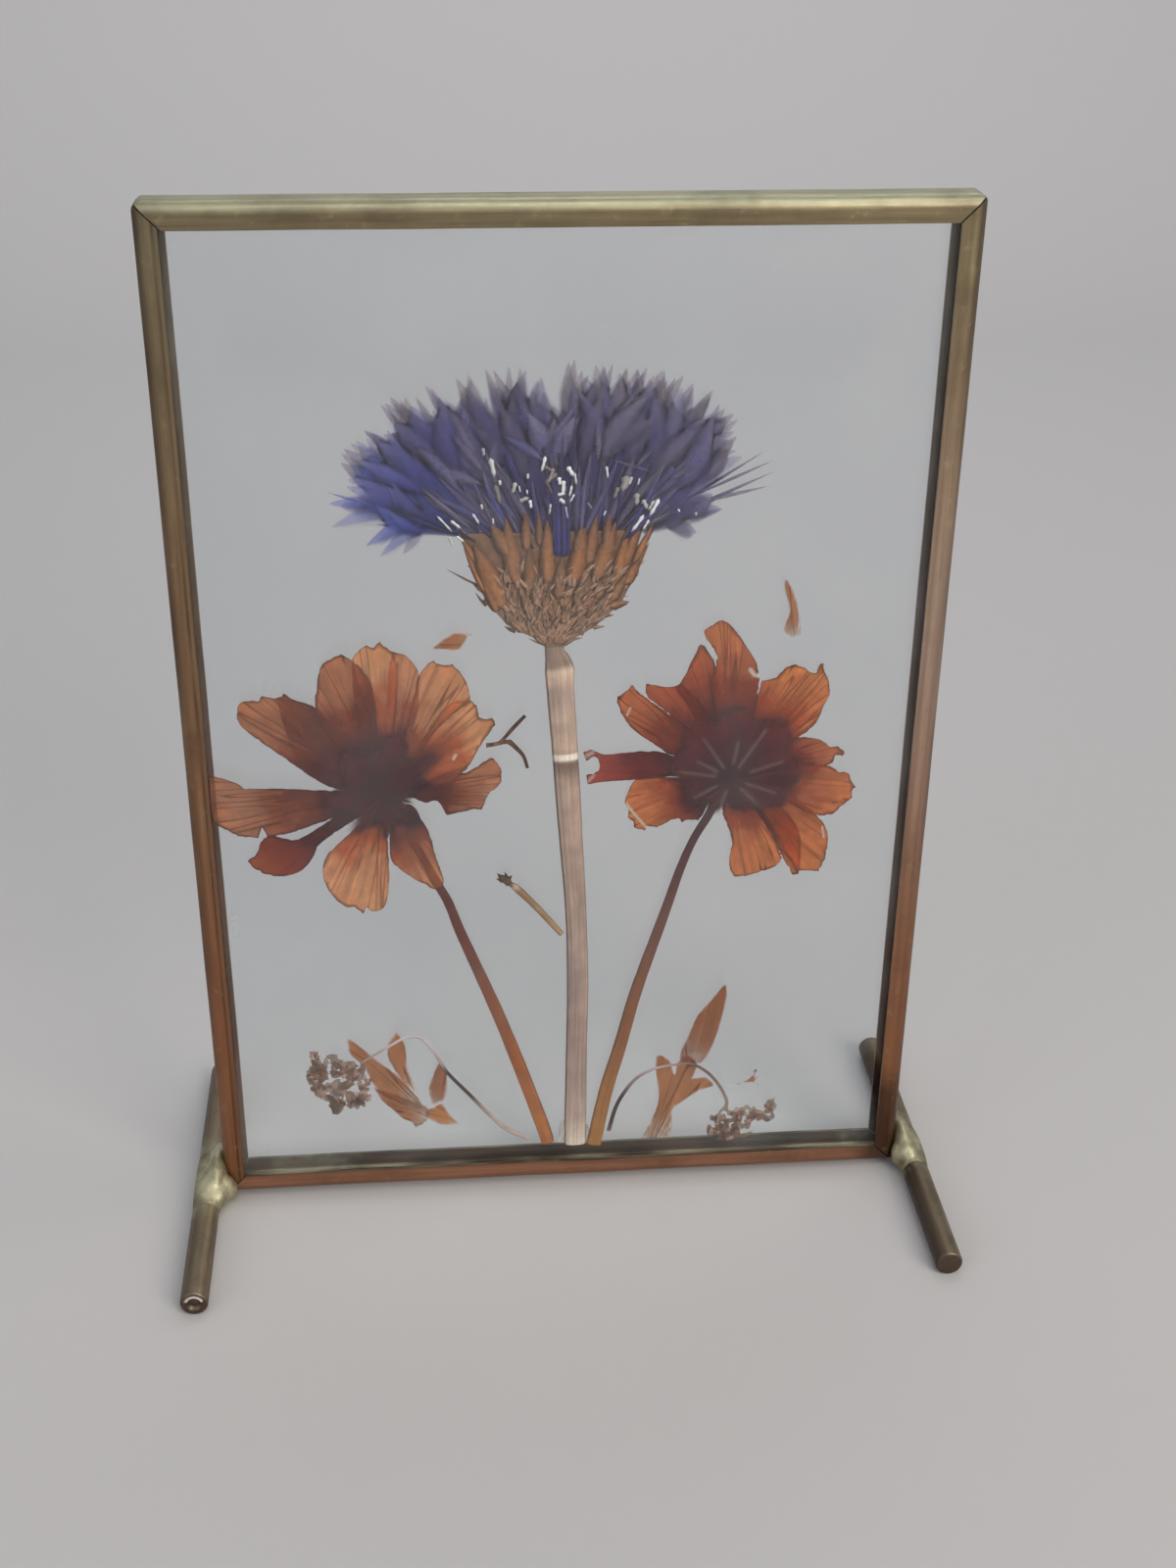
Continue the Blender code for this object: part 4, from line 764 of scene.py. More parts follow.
def insideAndNear(points, loop):
    # numpy test of which points lie in the loop, and how far each is from its rim
    points, loop = np.array(points), np.array([tuple(p) for p in loop])
    a, b = loop, np.roll(loop, -1, axis=0)
    px, py = points[:, 0][:, None], points[:, 1][:, None]
    crosses = (a[:, 1] > py) != (b[:, 1] > py)
    rise = np.where(b[:, 1] == a[:, 1], 1e-12, b[:, 1] - a[:, 1])
    at = (b[:, 0] - a[:, 0]) * (py - a[:, 1]) / rise + a[:, 0]
    inside = (crosses & (px < at)).sum(axis=1) % 2 == 1
    edge = b - a
    length = np.maximum((edge ** 2).sum(axis=1), 1e-12)
    t = np.clip(((px - a[:, 0]) * edge[:, 0] + (py - a[:, 1]) * edge[:, 1]) / length, 0, 1)
    near = np.sqrt((a[:, 0] + t * edge[:, 0] - px) ** 2 + (a[:, 1] + t * edge[:, 1] - py) ** 2)
    return inside, near.min(axis=1)


def fillOutline(loop, spacing, extra=()):
    # triangles inside the loop, with extra points where a mark needs them
    xs, ys = [p.x for p in loop], [p.y for p in loop]
    grid = [(x, y) for x, y in extra]
    row = 0
    y = min(ys)
    while y < max(ys):
        x = min(xs) + (spacing / 2 if row % 2 else 0)
        while x < max(xs):
            grid.append((x, y))
            x += spacing
        y += spacing * 0.866
        row += 1
    inside, near = insideAndNear(grid, loop)
    kept = [Vector(p) for p, ok, d in zip(grid, inside, near) if ok and d > spacing * 0.45]
    made = geometry.delaunay_2d_cdt(list(loop) + kept, [], [list(range(len(loop)))], 1, 1e-6)
    return made[0], made[2]


petalSheet = {"spacing": 0.34, "rimSpacing": 0.2, "ragged": 0.24, "coarse": 1.0,
              "thin": 0.025, "thick": 0.05, "wave": 0.02}


def flatPiece(name, pieceName, material, sheet, foot, tip, tone, marks=(), seed=0, outline=None,
              spread=0.25, darkFoot=1.0, middleMm=None, runOf=None):
    # a thin pressed sheet: foot and tip (x, z) give the run of its streaks, which fan out from a
    # point that lies behind the foot by a share of the run; darkFoot above 1 stretches its foot
    low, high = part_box(name)
    if high.y - low.y > 0.2 * mm:
        # the sheet lies in the front layer of a thicker solid
        high.y = low.y + 0.15 * mm
    loop = fineOutline(outline or nodeLoop(name), sheet, seed)
    extra = []
    for line, width, _ in marks:
        for a, b in zip(line, line[1:]):
            a, b = Vector(a), Vector(b)
            across = Vector((-(b - a).y, (b - a).x)).normalized() * width
            steps = max(2, round((b - a).length / 0.15))
            for k in range(steps + 1):
                for side in (-1.6, -0.6, 0.0, 0.6, 1.6):
                    extra.append(tuple(a.lerp(b, k / steps) + across * side))
    coords, faces = fillOutline(loop, sheet["spacing"], extra)
    _, near = insideAndNear([tuple(p) for p in coords], loop)
    foot, tip = Vector(foot), Vector(tip)
    run = tip - foot
    reach = run.length
    axis = run / reach
    origin = foot - axis * reach * spread
    middle = (low.y + high.y) / 2 / mm if middleMm is None else middleMm
    values = {key: [] for key in ("along", "across", "rim", "tone", "mark")}
    front, back = [], []
    for p, rim in zip(coords, near):
        thick = sheet["thin"] + (sheet["thick"] - sheet["thin"]) * (1 - math.exp(-rim / 0.3))
        wave = sheet["wave"] * noise.noise(Vector((p.x * 0.45, p.y * 0.45, seed * 3.1)))
        front.append(Vector((p.x, middle + wave - thick, p.y)) * mm)
        back.append(Vector((p.x, middle + wave + thick, p.y)) * mm)
        out = p - origin
        angle = axis.angle_signed(out, 0.0) if out.length > 1e-6 else 0.0
        mark = 0.0
        for line, width, strength in marks:
            for a, b in zip(line, line[1:]):
                _, t = geometry.intersect_point_line(p, Vector(a), Vector(b))
                t = min(max(t, 0.0), 1.0)
                gap = (Vector(a).lerp(Vector(b), t) - p).length
                push = strength * max(0.0, 1.0 - gap / (width * 1.6))
                mark = push if abs(push) > abs(mark) else mark
        along = min(1.0, max(0.0, (out.length - reach * spread) / reach)) ** darkFoot
        run3 = runOf(p) if runOf else (along, angle, tone)
        for key, number in zip(("along", "across", "tone"), run3):
            values[key].append(number)
        values["rim"].append(rim)
        values["mark"].append(mark)
    count = len(coords)
    values = {key: numbers * 2 for key, numbers in values.items()}
    solid = [tuple(face) for face in faces] + [tuple(count + i for i in reversed(face)) for face in faces]
    sides = {(i, j): True for face in faces for i, j in zip(face, list(face[1:]) + [face[0]])}
    solid += [(j, i, count + i, count + j) for i, j in sides if (j, i) not in sides]
    piece = turnOutwards(meshObject(pieceName, front + back, solid, material, values))
    piece.data.set_sharp_from_angle(angle=math.radians(70))
    return settle(piece, [name])


leftCosmos = {
    # a darkFoot above 1 stretches the dark foot of every petal but those in paleFeet
    "middle": (-22.1, 60.0), "darkFoot": 1.75, "paleFeet": ("bottom", "upper_right"),
    # tone 0 is tan and 1 is maroon; marks are lines from the middle: points, half width, pale or dark; the
    # pale ones are white torn edges, partly painted glints
    "petals": {
        "left": (0.6, (((-14.9, -4.0), (-14.6, -5.6)), 0.12, -1.0)),
        "upper_left": (0.6,), "upper_left_inner": (1.0,), "top_left": (0.66,), "top": (0.15,),
        "top_right": (0.35,), "upper_right": (0.3,),
        "right": (0.15, (((8.9, 4.9), (8.6, 4.3)), 0.22, 1.0)),
        "lower_right": (0.6,), "folded": (0.4, (((2.0, -2.6), (3.2, -8.5), (5.6, -13.0)), 0.1, -0.7)),
        "bottom": (0.12,), "lower_left": (1.0,),
    },
}
rightCosmos = {
    "middle": (20.5, 60.6), "darkFoot": 1.75, "paleFeet": ("bottom", "lower_right"),
    "petals": {
        "top": (0.5, (((-3.9, 18.7), (-2.6, 16.4)), 0.16, 1.0),
                (((1.9, 14.2), (2.4, 13.5), (3.0, 13.3)), 0.32, 1.0)),
        "top_left": (0.8,), "left_top": (0.8,),
        "upper_left": (0.6, (((-12.9, 8.6), (-12.5, 9.6)), 0.2, 0.8)),
        "left": (1.0, (((-17.9, 2.9), (-17.0, 3.5)), 0.5, 0.6), (((-17.5, -0.5), (-16.8, 0.4)), 0.35, 0.6)),
        "lower_left": (0.4, (((-12.8, -3.6), (-11.7, -5.2), (-10.2, -7.1)), 0.2, 1.0)),
        "bottom": (0.4,), "bottom_inner": (0.5,),
        "lower_right": (0.4, (((12.4, -9.4), (12.1, -7.9)), 0.15, 1.0)),
        "right": (0.45,), "right_top": (0.6,), "upper_right": (0.2,),
    },
}


def makePetals(flower, shape, material):
    middle = Vector(shape["middle"])
    for number, (petal, look) in enumerate(shape["petals"].items()):
        name = f"{flower}_petal_{petal}"
        outline = nodeLoop(name)
        centre = sum(outline, Vector((0.0, 0.0))) / len(outline)
        axis = (centre - middle).normalized()
        far = max((p - middle).length for p in outline)
        marks = [([tuple(middle + Vector(p)) for p in line], width, strength)
                 for line, width, strength in look[1:]]
        flatPiece(name, name + "_pressed", material, petalSheet,
                  middle + axis * 1.5, middle + axis * far, look[0], marks, seed=number + 5,
                  darkFoot=1.1 if petal in shape["paleFeet"] else shape["darkFoot"])


# stalks that follow a path

def stalkTree():
    # sweeps a ribbed ring along the path, then presses it flat
    add, given = newTree("pressed stalk", {
        "Sides": ("NodeSocketInt", 40), "Ribs": ("NodeSocketFloat", 9.0),
        "Rib Depth": ("NodeSocketFloat", 0.05), "Flatness": ("NodeSocketFloat", 0.4),
        "Depth": ("NodeSocketFloat", 0.0), "Finish": ("NodeSocketMaterial", None)})
    ring = add("GeometryNodeCurvePrimitiveCircle", {"Resolution": given["Sides"], "Radius": 1.0})
    share = add("GeometryNodeSplineParameter")
    angle = add("Math", {0: share.outputs["Factor"], 1: 2 * math.pi}, operation="MULTIPLY")
    turns = add("Math", {0: angle, 1: given["Ribs"]}, operation="MULTIPLY")
    wave = add("Math", {0: turns}, operation="SINE")
    swell = add("Math", {0: wave, 1: given["Rib Depth"], 2: 1.0}, operation="MULTIPLY_ADD")
    place = add("GeometryNodeInputPosition")
    grown = add("VectorMath", {0: place, "Scale": swell}, operation="SCALE")
    ribbed = add("GeometryNodeSetPosition", {"Geometry": ring, "Position": grown})
    marked = add("GeometryNodeStoreNamedAttribute", {
        "Geometry": ribbed, "Name": "around", "Value": share.outputs["Factor"]})
    ruled = add("GeometryNodeStoreNamedAttribute", {
        "Geometry": given["Geometry"], "Name": "along", "Value": share.outputs["Factor"]})
    swept = add("GeometryNodeCurveToMesh", {
        "Curve": ruled, "Profile Curve": marked, "Scale": add("GeometryNodeInputRadius"), "Fill Caps": True})
    press = add("CombineXYZ", {0: 1.0, 1: given["Flatness"], 2: 1.0})
    shift = add("CombineXYZ", {1: given["Depth"]})
    flat = add("GeometryNodeTransform", {"Geometry": swept, "Translation": shift, "Scale": press})
    return finishTree(add, flat, given["Finish"])


def smoothPath(path, steps):
    # path rows are (x, z, half width); returns closer rows on a smooth run
    rows = []
    for i in range(len(path) - 1):
        a, b = Vector(path[i]), Vector(path[i + 1])
        leave = (b - Vector(path[max(i - 1, 0)])) / 2
        arrive = (Vector(path[min(i + 2, len(path) - 1)]) - a) / 2
        for k in range(steps):
            rows.append(hermite(a, b, leave, arrive, k / steps))
    rows.append(Vector(path[-1]))
    return rows


stalks = {
    "cornflower_stem": {
        "path": ((-1.2, 79.3, 1.14), (-1.2, 77.9, 1.12), (-0.9, 76.9, 1.46), (-0.62, 75.6, 1.72),
                 (-0.55, 73.5, 1.64), (-0.3, 70.0, 1.6),
                 (0.1, 64.2, 1.56), (0.8, 53.0, 1.45), (1.5, 42.0, 1.31), (1.8, 31.0, 1.36),
                 (1.7, 21.0, 1.36), (1.6, 7.4, 1.45), (1.6, 5.1, 1.4)),
        "depth": 0.0, "halfDepth": 0.58, "ribs": 14.0, "ribDepth": 0.035, "sides": 72,
        "uneven": 0.04, "finish": "straw", "slot": "stems"},
    "cornflower_side_shoot": {
        "path": ((-8.2, 47.5, 0.2), (-7.8, 47.2, 0.42), (-7.1, 46.6, 0.5), (-6.7, 46.2, 0.32),
                 (-5.9, 45.5, 0.46), (-3.4, 42.6, 0.42), (-0.3, 38.55, 0.38)),
        "depth": 0.0, "halfDepth": 0.32, "ribs": 6.0, "ribDepth": 0.06, "sides": 30,
        "uneven": 0.12, "finish": "shoot", "slot": "stems"},
    "left_cosmos_stem": {
        "path": ((-21.9, 59.4, 0.56), (-19.0, 53.2, 0.57), (-16.0, 46.6, 0.57), (-14.6, 43.6, 0.6),
                 (-13.3, 39.5, 0.65), (-11.3, 34.0, 0.72), (-8.5, 26.2, 0.81), (-5.6, 17.2, 0.88),
                 (-2.7, 7.6, 0.91), (-2.1, 5.1, 0.86)),
        "depth": 0.4, "halfDepth": 0.25, "ribs": 7.0, "ribDepth": 0.05, "sides": 42,
        "uneven": 0.07, "finish": "brown", "slot": "stems"},
    "right_cosmos_stem": {
        "path": ((19.8, 61.5, 0.7), (18.9, 58.8, 0.66), (18.2, 55.9, 0.57), (16.2, 52.0, 0.52),
                 (14.6, 47.6, 0.57), (12.9, 41.6, 0.65), (10.5, 33.5, 0.76), (9.1, 28.4, 0.81),
                 (7.4, 20.9, 0.88), (5.6, 13.6, 0.94), (4.1, 5.1, 1.0)),
        "depth": -0.4, "halfDepth": 0.25, "ribs": 7.0, "ribDepth": 0.05, "sides": 42,
        "uneven": 0.07, "finish": "golden", "slot": "stems"},
    "left_sprig_stem": {
        "path": ((-26.7, 20.2, 0.18), (-24.8, 21.4, 0.19), (-22.5, 22.9, 0.2), (-20.6, 24.0, 0.23),
                 (-18.8, 23.9, 0.26), (-17.7, 22.7, 0.26), (-16.6, 20.6, 0.23), (-15.3, 18.0, 0.26),
                 (-12.4, 14.2, 0.28), (-9.8, 10.8, 0.3), (-7.6, 8.4, 0.36), (-4.75, 6.65, 0.28)),
        "depth": -0.52, "halfDepth": 0.12, "ribs": 4.0, "ribDepth": 0.06, "sides": 20,
        "uneven": 0.15, "finish": "thread", "slot": "sprigs"},
    "right_sprig_stem": {
        "path": ((6.1, 7.35, 0.32), (7.0, 11.2, 0.28), (8.3, 13.9, 0.28), (9.8, 15.9, 0.26),
                 (12.0, 17.2, 0.23), (14.6, 17.7, 0.2), (16.9, 17.8, 0.2), (19.2, 16.3, 0.23),
                 (20.8, 14.2, 0.23), (21.9, 11.9, 0.23), (22.0, 10.6, 0.23), (21.2, 9.5, 0.2),
                 (20.9, 7.65, 0.18)),
        "depth": -0.52, "halfDepth": 0.12, "ribs": 4.0, "ribDepth": 0.06, "sides": 20,
        "uneven": 0.15, "finish": "dark thread", "slot": "sprigs"},
}


def makeStalk(name, look, tree, finishes, seed):
    rows = smoothPath(look["path"], 7)
    spline = bpy.data.curves.new(name + "_path", "CURVE")
    spline.dimensions = "3D"
    line = spline.splines.new("POLY")
    line.points.add(len(rows) - 1)
    for point, (x, z, half) in zip(line.points, rows):
        point.co = (x * mm, 0.0, z * mm, 1.0)
        point.radius = half * mm * (1 - look["uneven"] * abs(noise.noise(Vector((x * 0.7, z * 0.7, seed)))))
    piece = newObject(name + "_pressed", spline)
    widest = max(row[2] for row in rows)
    addTree(piece, tree, {
        "Sides": look["sides"], "Ribs": look["ribs"], "Rib Depth": look["ribDepth"],
        "Flatness": look["halfDepth"] / widest, "Depth": look["depth"] * mm,
        "Finish": finishes[look["finish"]]})
    piece = turnOutwards(flattenModifiers(piece))
    piece.data.shade_smooth()
    piece.data.set_sharp_from_angle(angle=math.radians(60))
    return settle(piece, [name])


# many small parts placed on points

def placingTree():
    # puts one of a set of small shapes on every point, turned and sized by the point's own values
    add, given = newTree("placed parts", {
        "Parts": ("NodeSocketCollection", None), "Finish": ("NodeSocketMaterial", None)})
    parts = add("GeometryNodeCollectionInfo", {
        "Collection": given["Parts"], "Separate Children": True, "Reset Children": True})
    kind = add("GeometryNodeInputNamedAttribute", {"Name": "kind"}, data_type="INT")
    turn = add("GeometryNodeInputNamedAttribute", {"Name": "turn"}, data_type="FLOAT_VECTOR")
    size = add("GeometryNodeInputNamedAttribute", {"Name": "size"}, data_type="FLOAT_VECTOR")
    spin = add("FunctionNodeEulerToRotation", {0: turn.outputs["Attribute"]})
    placed = add("GeometryNodeInstanceOnPoints", {
        "Points": given["Geometry"], "Instance": parts, "Pick Instance": True,
        "Instance Index": kind.outputs["Attribute"], "Rotation": spin,
        "Scale": size.outputs["Attribute"]})
    return finishTree(add, placed, given["Finish"])


def partSet(name, shapes):
    # a hidden collection of the small shapes, in order
    holder = bpy.data.collections.new(name)
    for number, (points, faces, values) in enumerate(shapes):
        mesh = bpy.data.meshes.new(f"{name}_{number:02d}")
        mesh.from_pydata(points, [], faces)
        for key, numbers in values.items():
            storeValues(mesh, key, numbers)
        mesh.shade_smooth()
        holder.objects.link(bpy.data.objects.new(f"{name}_{number:02d}", mesh))
    return holder


def blade(rows, bend=0.0, fold=0.1, thick=0.03, span=(0.0, 1.0), edge=1.0):
    # a closed slim leaf from the origin up to z = 1: rows are (height, half width), and its
    # width and thickness are in mm once it is placed
    points, along, rim = [], [], []
    widest = max(r[1] for r in rows)
    for height, half in rows:
        sway = bend * height * height
        depth = thick * (0.3 + 0.7 * half / widest)
        for x, y in ((-half, 0.0), (0.0, -depth - fold * half), (half, 0.0), (0.0, depth - fold * half)):
            points.append((x + sway, y, height))
            along.append(span[0] + (span[1] - span[0]) * height)
            rim.append(0.0 if x == 0.0 else edge)
    faces = ringFaces(len(rows), 4, caps=False) + [(3, 2, 1, 0), tuple(range(len(points) - 4, len(points)))]
    return points, faces, {"along": along, "rim": rim}


def placeRow(start, end, depth, width, kind, **values):
    # a small part that runs from start to end (x, z), turned about the depth axis
    (x, z), (a, b) = start, end
    length = math.hypot(a - x, b - z)
    row = {"place": (x * mm, depth * mm, z * mm), "turn": (0.0, math.atan2(a - x, b - z), 0.0),
           "size": (width * mm, mm, length * mm), "kind": kind}
    return dict(row, **values)


def placedPiece(name, rows, parts, tree, finish, extras):
    # rows: place, turn, size, kind and the extra values of every small part
    mesh = bpy.data.meshes.new(name)
    mesh.from_pydata([row["place"] for row in rows], [], [])
    for key in ("turn", "size"):
        storeValues(mesh, key, [c for row in rows for c in row[key]], "FLOAT_VECTOR")
    storeValues(mesh, "kind", [row["kind"] for row in rows], "INT")
    for key in extras:
        storeValues(mesh, key, [row[key] for row in rows])
    piece = newObject(name, mesh)
    addTree(piece, tree, {"Parts": parts, "Finish": finish})
    flattenModifiers(piece)
    for key in ("turn", "size", "kind"):
        if key in piece.data.attributes:
            piece.data.attributes.remove(piece.data.attributes[key])
    return turnOutwards(piece)


def clampTo(piece, node):
    # nothing leaves the space between the panes
    low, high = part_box(node)
    for vert in piece.data.vertices:
        vert.co.y = min(max(vert.co.y, low.y), high.y)


budScales = ((-7.0, 46.5, -8.5, 47.9, 0.7), (-7.3, 46.6, -8.6, 47.1, 0.5), (-7.0, 46.7, -7.5, 48.0, 0.55),
             (-7.6, 47.1, -8.0, 46.4, 0.5), (-7.0, 46.8, -6.6, 47.5, 0.45), (-6.9, 46.3, -7.3, 45.9, 0.5))


def makeBud(scales, tree, finish):
    # the pointed scales of the side shoot's bud: start, end, width
    slim = ((0.0, 0.2), (0.35, 0.5), (0.7, 0.3), (1.0, 0.03))
    rows = [placeRow((x, z), (a, b), -0.1 + 0.04 * n, width, 0, tone=0.8, level=0.0, thin=0.0)
            for n, (x, z, a, b, width) in enumerate(scales)]
    parts = partSet("budParts", [blade(slim, 0.1, 0.2, 0.08)])
    piece = placedPiece("cornflower_side_shoot_bud", rows, parts, tree, finish, ("tone", "level", "thin"))
    clampTo(piece, "cornflower_side_shoot")
    return settle(piece, ["cornflower_side_shoot"])


floretFan = {
    "springHeight": 90.4, "springRise": 2.4, "span": (-12.2, 9.4),
    # share across, bearing and reach of the fan's rim
    "fan": ((0.00, -82, 9.0), (0.04, -69, 17.2), (0.12, -55, 19.2), (0.24, -36, 22.0), (0.36, -24, 22.9),
            (0.45, -13, 23.2), (0.48, -9, 22.6), (0.495, -5, 17.0), (0.51, -3, 17.2), (0.53, 0, 22.4),
            (0.66, 8, 22.1), (0.76, 17, 21.6), (0.86, 25, 20.6),
            (0.93, 33, 18.9), (0.965, 45, 15.6), (0.985, 61, 11.6), (1.00, 76, 6.6)),
    "florets": 60, "lobes": (2, 3), "mouth": (0.4, 0.62), "flare": 11.0, "lobeMm": (2.3, 4.0),
    "halo": 60, "short": 80, "tooth": (0.76, 0.24), "seed": 11,
}
chaffAndGlintBits = (
    # pale slivers between the florets, partly dry scale and partly painted glints: start, end, width and how
    # pale
    (-8.5, 102.1, -7.9, 99.9, 0.5, 0.75), (-9.3, 103.3, -9.1, 102.4, 0.3, 0.5),
    (-8.0, 98.9, -7.3, 96.8, 0.5, 0.2), (-7.5, 99.5, -7.3, 98.9, 0.3, 0.95),
    (-2.3, 102.2, -2.6, 100.4, 0.34, 1.0), (-4.3, 100.2, -4.2, 99.6, 0.26, 0.95),
    (-5.7, 99.2, -5.9, 97.9, 0.45, 0.6), (-5.3, 98.8, -5.1, 98.0, 0.16, 0.95),
    (-4.4, 98.3, -4.3, 97.8, 0.2, 0.9), (-5.2, 96.9, -4.3, 97.5, 0.5, 0.5),
    (-4.1, 97.1, -3.8, 96.1, 0.36, 1.0), (-9.6, 96.7, -9.4, 96.1, 0.22, 0.95),
    (-14.6, 95.4, -12.9, 93.5, 0.2, 0.95), (-13.1, 94.8, -11.9, 93.9, 0.3, 1.0),
    (-10.6, 95.6, -9.8, 94.4, 0.24, 1.0), (-12.5, 92.9, -11.6, 92.3, 0.3, 0.95),
    (-13.4, 92.9, -12.8, 91.7, 0.3, 0.7), (-8.3, 95.0, -8.2, 94.3, 0.18, 0.9),
    (0.2, 100.9, 1.0, 99.9, 0.5, 1.0), (1.0, 100.2, 1.3, 98.8, 0.26, 0.8),
    (-0.8, 99.7, -0.5, 98.8, 0.42, 1.0), (-0.3, 99.3, -0.1, 98.1, 0.46, 0.98),
    (-0.9, 97.6, -0.1, 97.9, 0.36, 1.0), (-0.7, 97.1, 0.0, 96.7, 0.4, 0.98),
    (-0.2, 98.4, -0.4, 97.4, 0.4, 0.9), (0.7, 98.7, 0.5, 97.4, 0.24, 1.0),
    (1.0, 97.7, 0.6, 96.7, 0.22, 1.0), (-2.5, 101.0, -1.2, 100.4, 0.4, 0.15),
    (-2.3, 99.4, -1.4, 97.7, 0.35, 0.08), (-1.4, 100.8, -1.8, 99.2, 0.4, 0.3),
    (-1.0, 100.2, -2.2, 98.9, 0.5, 0.22), (4.6, 100.9, 4.9, 99.5, 0.26, 0.85),
    (6.9, 99.7, 6.8, 97.9, 0.9, 0.34), (7.5, 99.6, 7.3, 98.6, 0.34, 0.7),
    (8.4, 99.4, 8.3, 98.6, 0.18, 0.95), (8.1, 97.6, 8.3, 96.2, 0.6, 0.42),
    (8.8, 96.8, 9.5, 95.8, 0.5, 0.55), (6.0, 98.4, 5.6, 97.0, 0.4, 0.25),
    (10.7, 96.9, 9.8, 94.8, 0.44, 1.0), (10.1, 96.7, 9.6, 95.5, 0.3, 0.7),
    (9.0, 95.0, 7.7, 92.9, 0.4, 1.0), (9.6, 94.4, 9.0, 93.2, 0.26, 0.98),
    (4.6, 95.6, 4.4, 95.0, 0.18, 0.95), (12.9, 95.6, 13.2, 95.3, 0.2, 1.0),
    (15.0, 95.2, 15.1, 94.8, 0.2, 0.9), (-0.1, 96.4, 0.4, 94.6, 0.28, 0.7),
    (-1.7, 96.6, -1.8, 95.3, 0.22, 0.75), (2.5, 96.6, 3.1, 95.9, 0.2, 0.3),
)
paleLobes = (
    # lobes that are turned across the others: start, end, width, how blue, and how faded
    (3.6, 101.4, 4.1, 105.7, 0.95, 0.1, 0.5), (5.4, 101.5, 9.6, 100.1, 0.55, 0.1, 0.35),
    (8.0, 100.6, 9.5, 102.7, 0.7, 0.0, 0.3), (-6.9, 104.5, -2.2, 102.2, 1.4, 0.35, 0.3),
    (-0.3, 101.6, 0.3, 105.0, 0.8, 0.1, 0.35), (-16.5, 103.3, -11.6, 99.3, 1.9, 0.25, 0.4),
    (-15.0, 101.0, -9.6, 99.0, 1.8, 0.25, 0.42), (-12.6, 104.8, -9.4, 100.6, 1.3, 0.1, 0.3),
    (13.2, 99.2, 9.4, 97.2, 1.4, 0.1, 0.15), (14.4, 100.4, 10.6, 98.4, 1.2, 0.0, 0.3),
)


def readFan(fan, share):
    for before, after in zip(fan, fan[1:]):
        if share <= after[0]:
            t = (share - before[0]) / (after[0] - before[0])
            return before[1] + (after[1] - before[1]) * t, before[2] + (after[2] - before[2]) * t
    return fan[-1][1], fan[-1][2]


def heading(bearing, length):
    return length * math.sin(math.radians(bearing)), length * math.cos(math.radians(bearing))


def springPoint(look, share):
    left, right = look["span"]
    return left + (right - left) * share, look["springHeight"] + (2 * share - 1) ** 2 * look["springRise"]


def mattedOutline(look):
    # along the foot of the fan and back round its rim of pointed tips
    outline = [Vector(springPoint(look, k / 16)) for k in range(17)]
    least, tooth = look["tooth"]
    for k in range(280, -1, -1):
        bearing, full = readFan(look["fan"], k / 280)
        ridge = 1 - min(1.0, 2.4 * abs(noise.noise(Vector((k * 0.23, 0.0, 3.0)))))
        reach = full * (least + tooth * ridge * (0.75 + 0.5 * noise.noise(Vector((k * 0.05, 4.0, 0.0)))))
        outline.append(Vector(springPoint(look, k / 280)) + Vector(heading(bearing, reach)))
    return outline


def fanRun(look):
    # how far along its ray a spot in the fan lies, which ray it is, and how blue it is there
    rays = []
    for k in range(161):
        bearing, full = readFan(look["fan"], k / 160)
        start = Vector(springPoint(look, k / 160))
        rays.append((k / 160, bearing, full, start, Vector(heading(bearing, 1.0))))

    def run(spot):
        def gap(ray):
            reach = min(max((spot - ray[3]).dot(ray[4]), 0.0), ray[2] * 1.05)
            return (ray[3] + ray[4] * reach - spot).length
        share, bearing, full, start, way = min(rays, key=gap)
        along = max(0.0, (spot - start).dot(way)) / full
        blue = min(1.0, max(0.0, (-18 - bearing) / 40)) + max(0.0, 0.6 * noise.noise(spot.to_3d() * 0.22))
        return min(1.0, along), share * 3.2, min(1.0, blue)
    return run


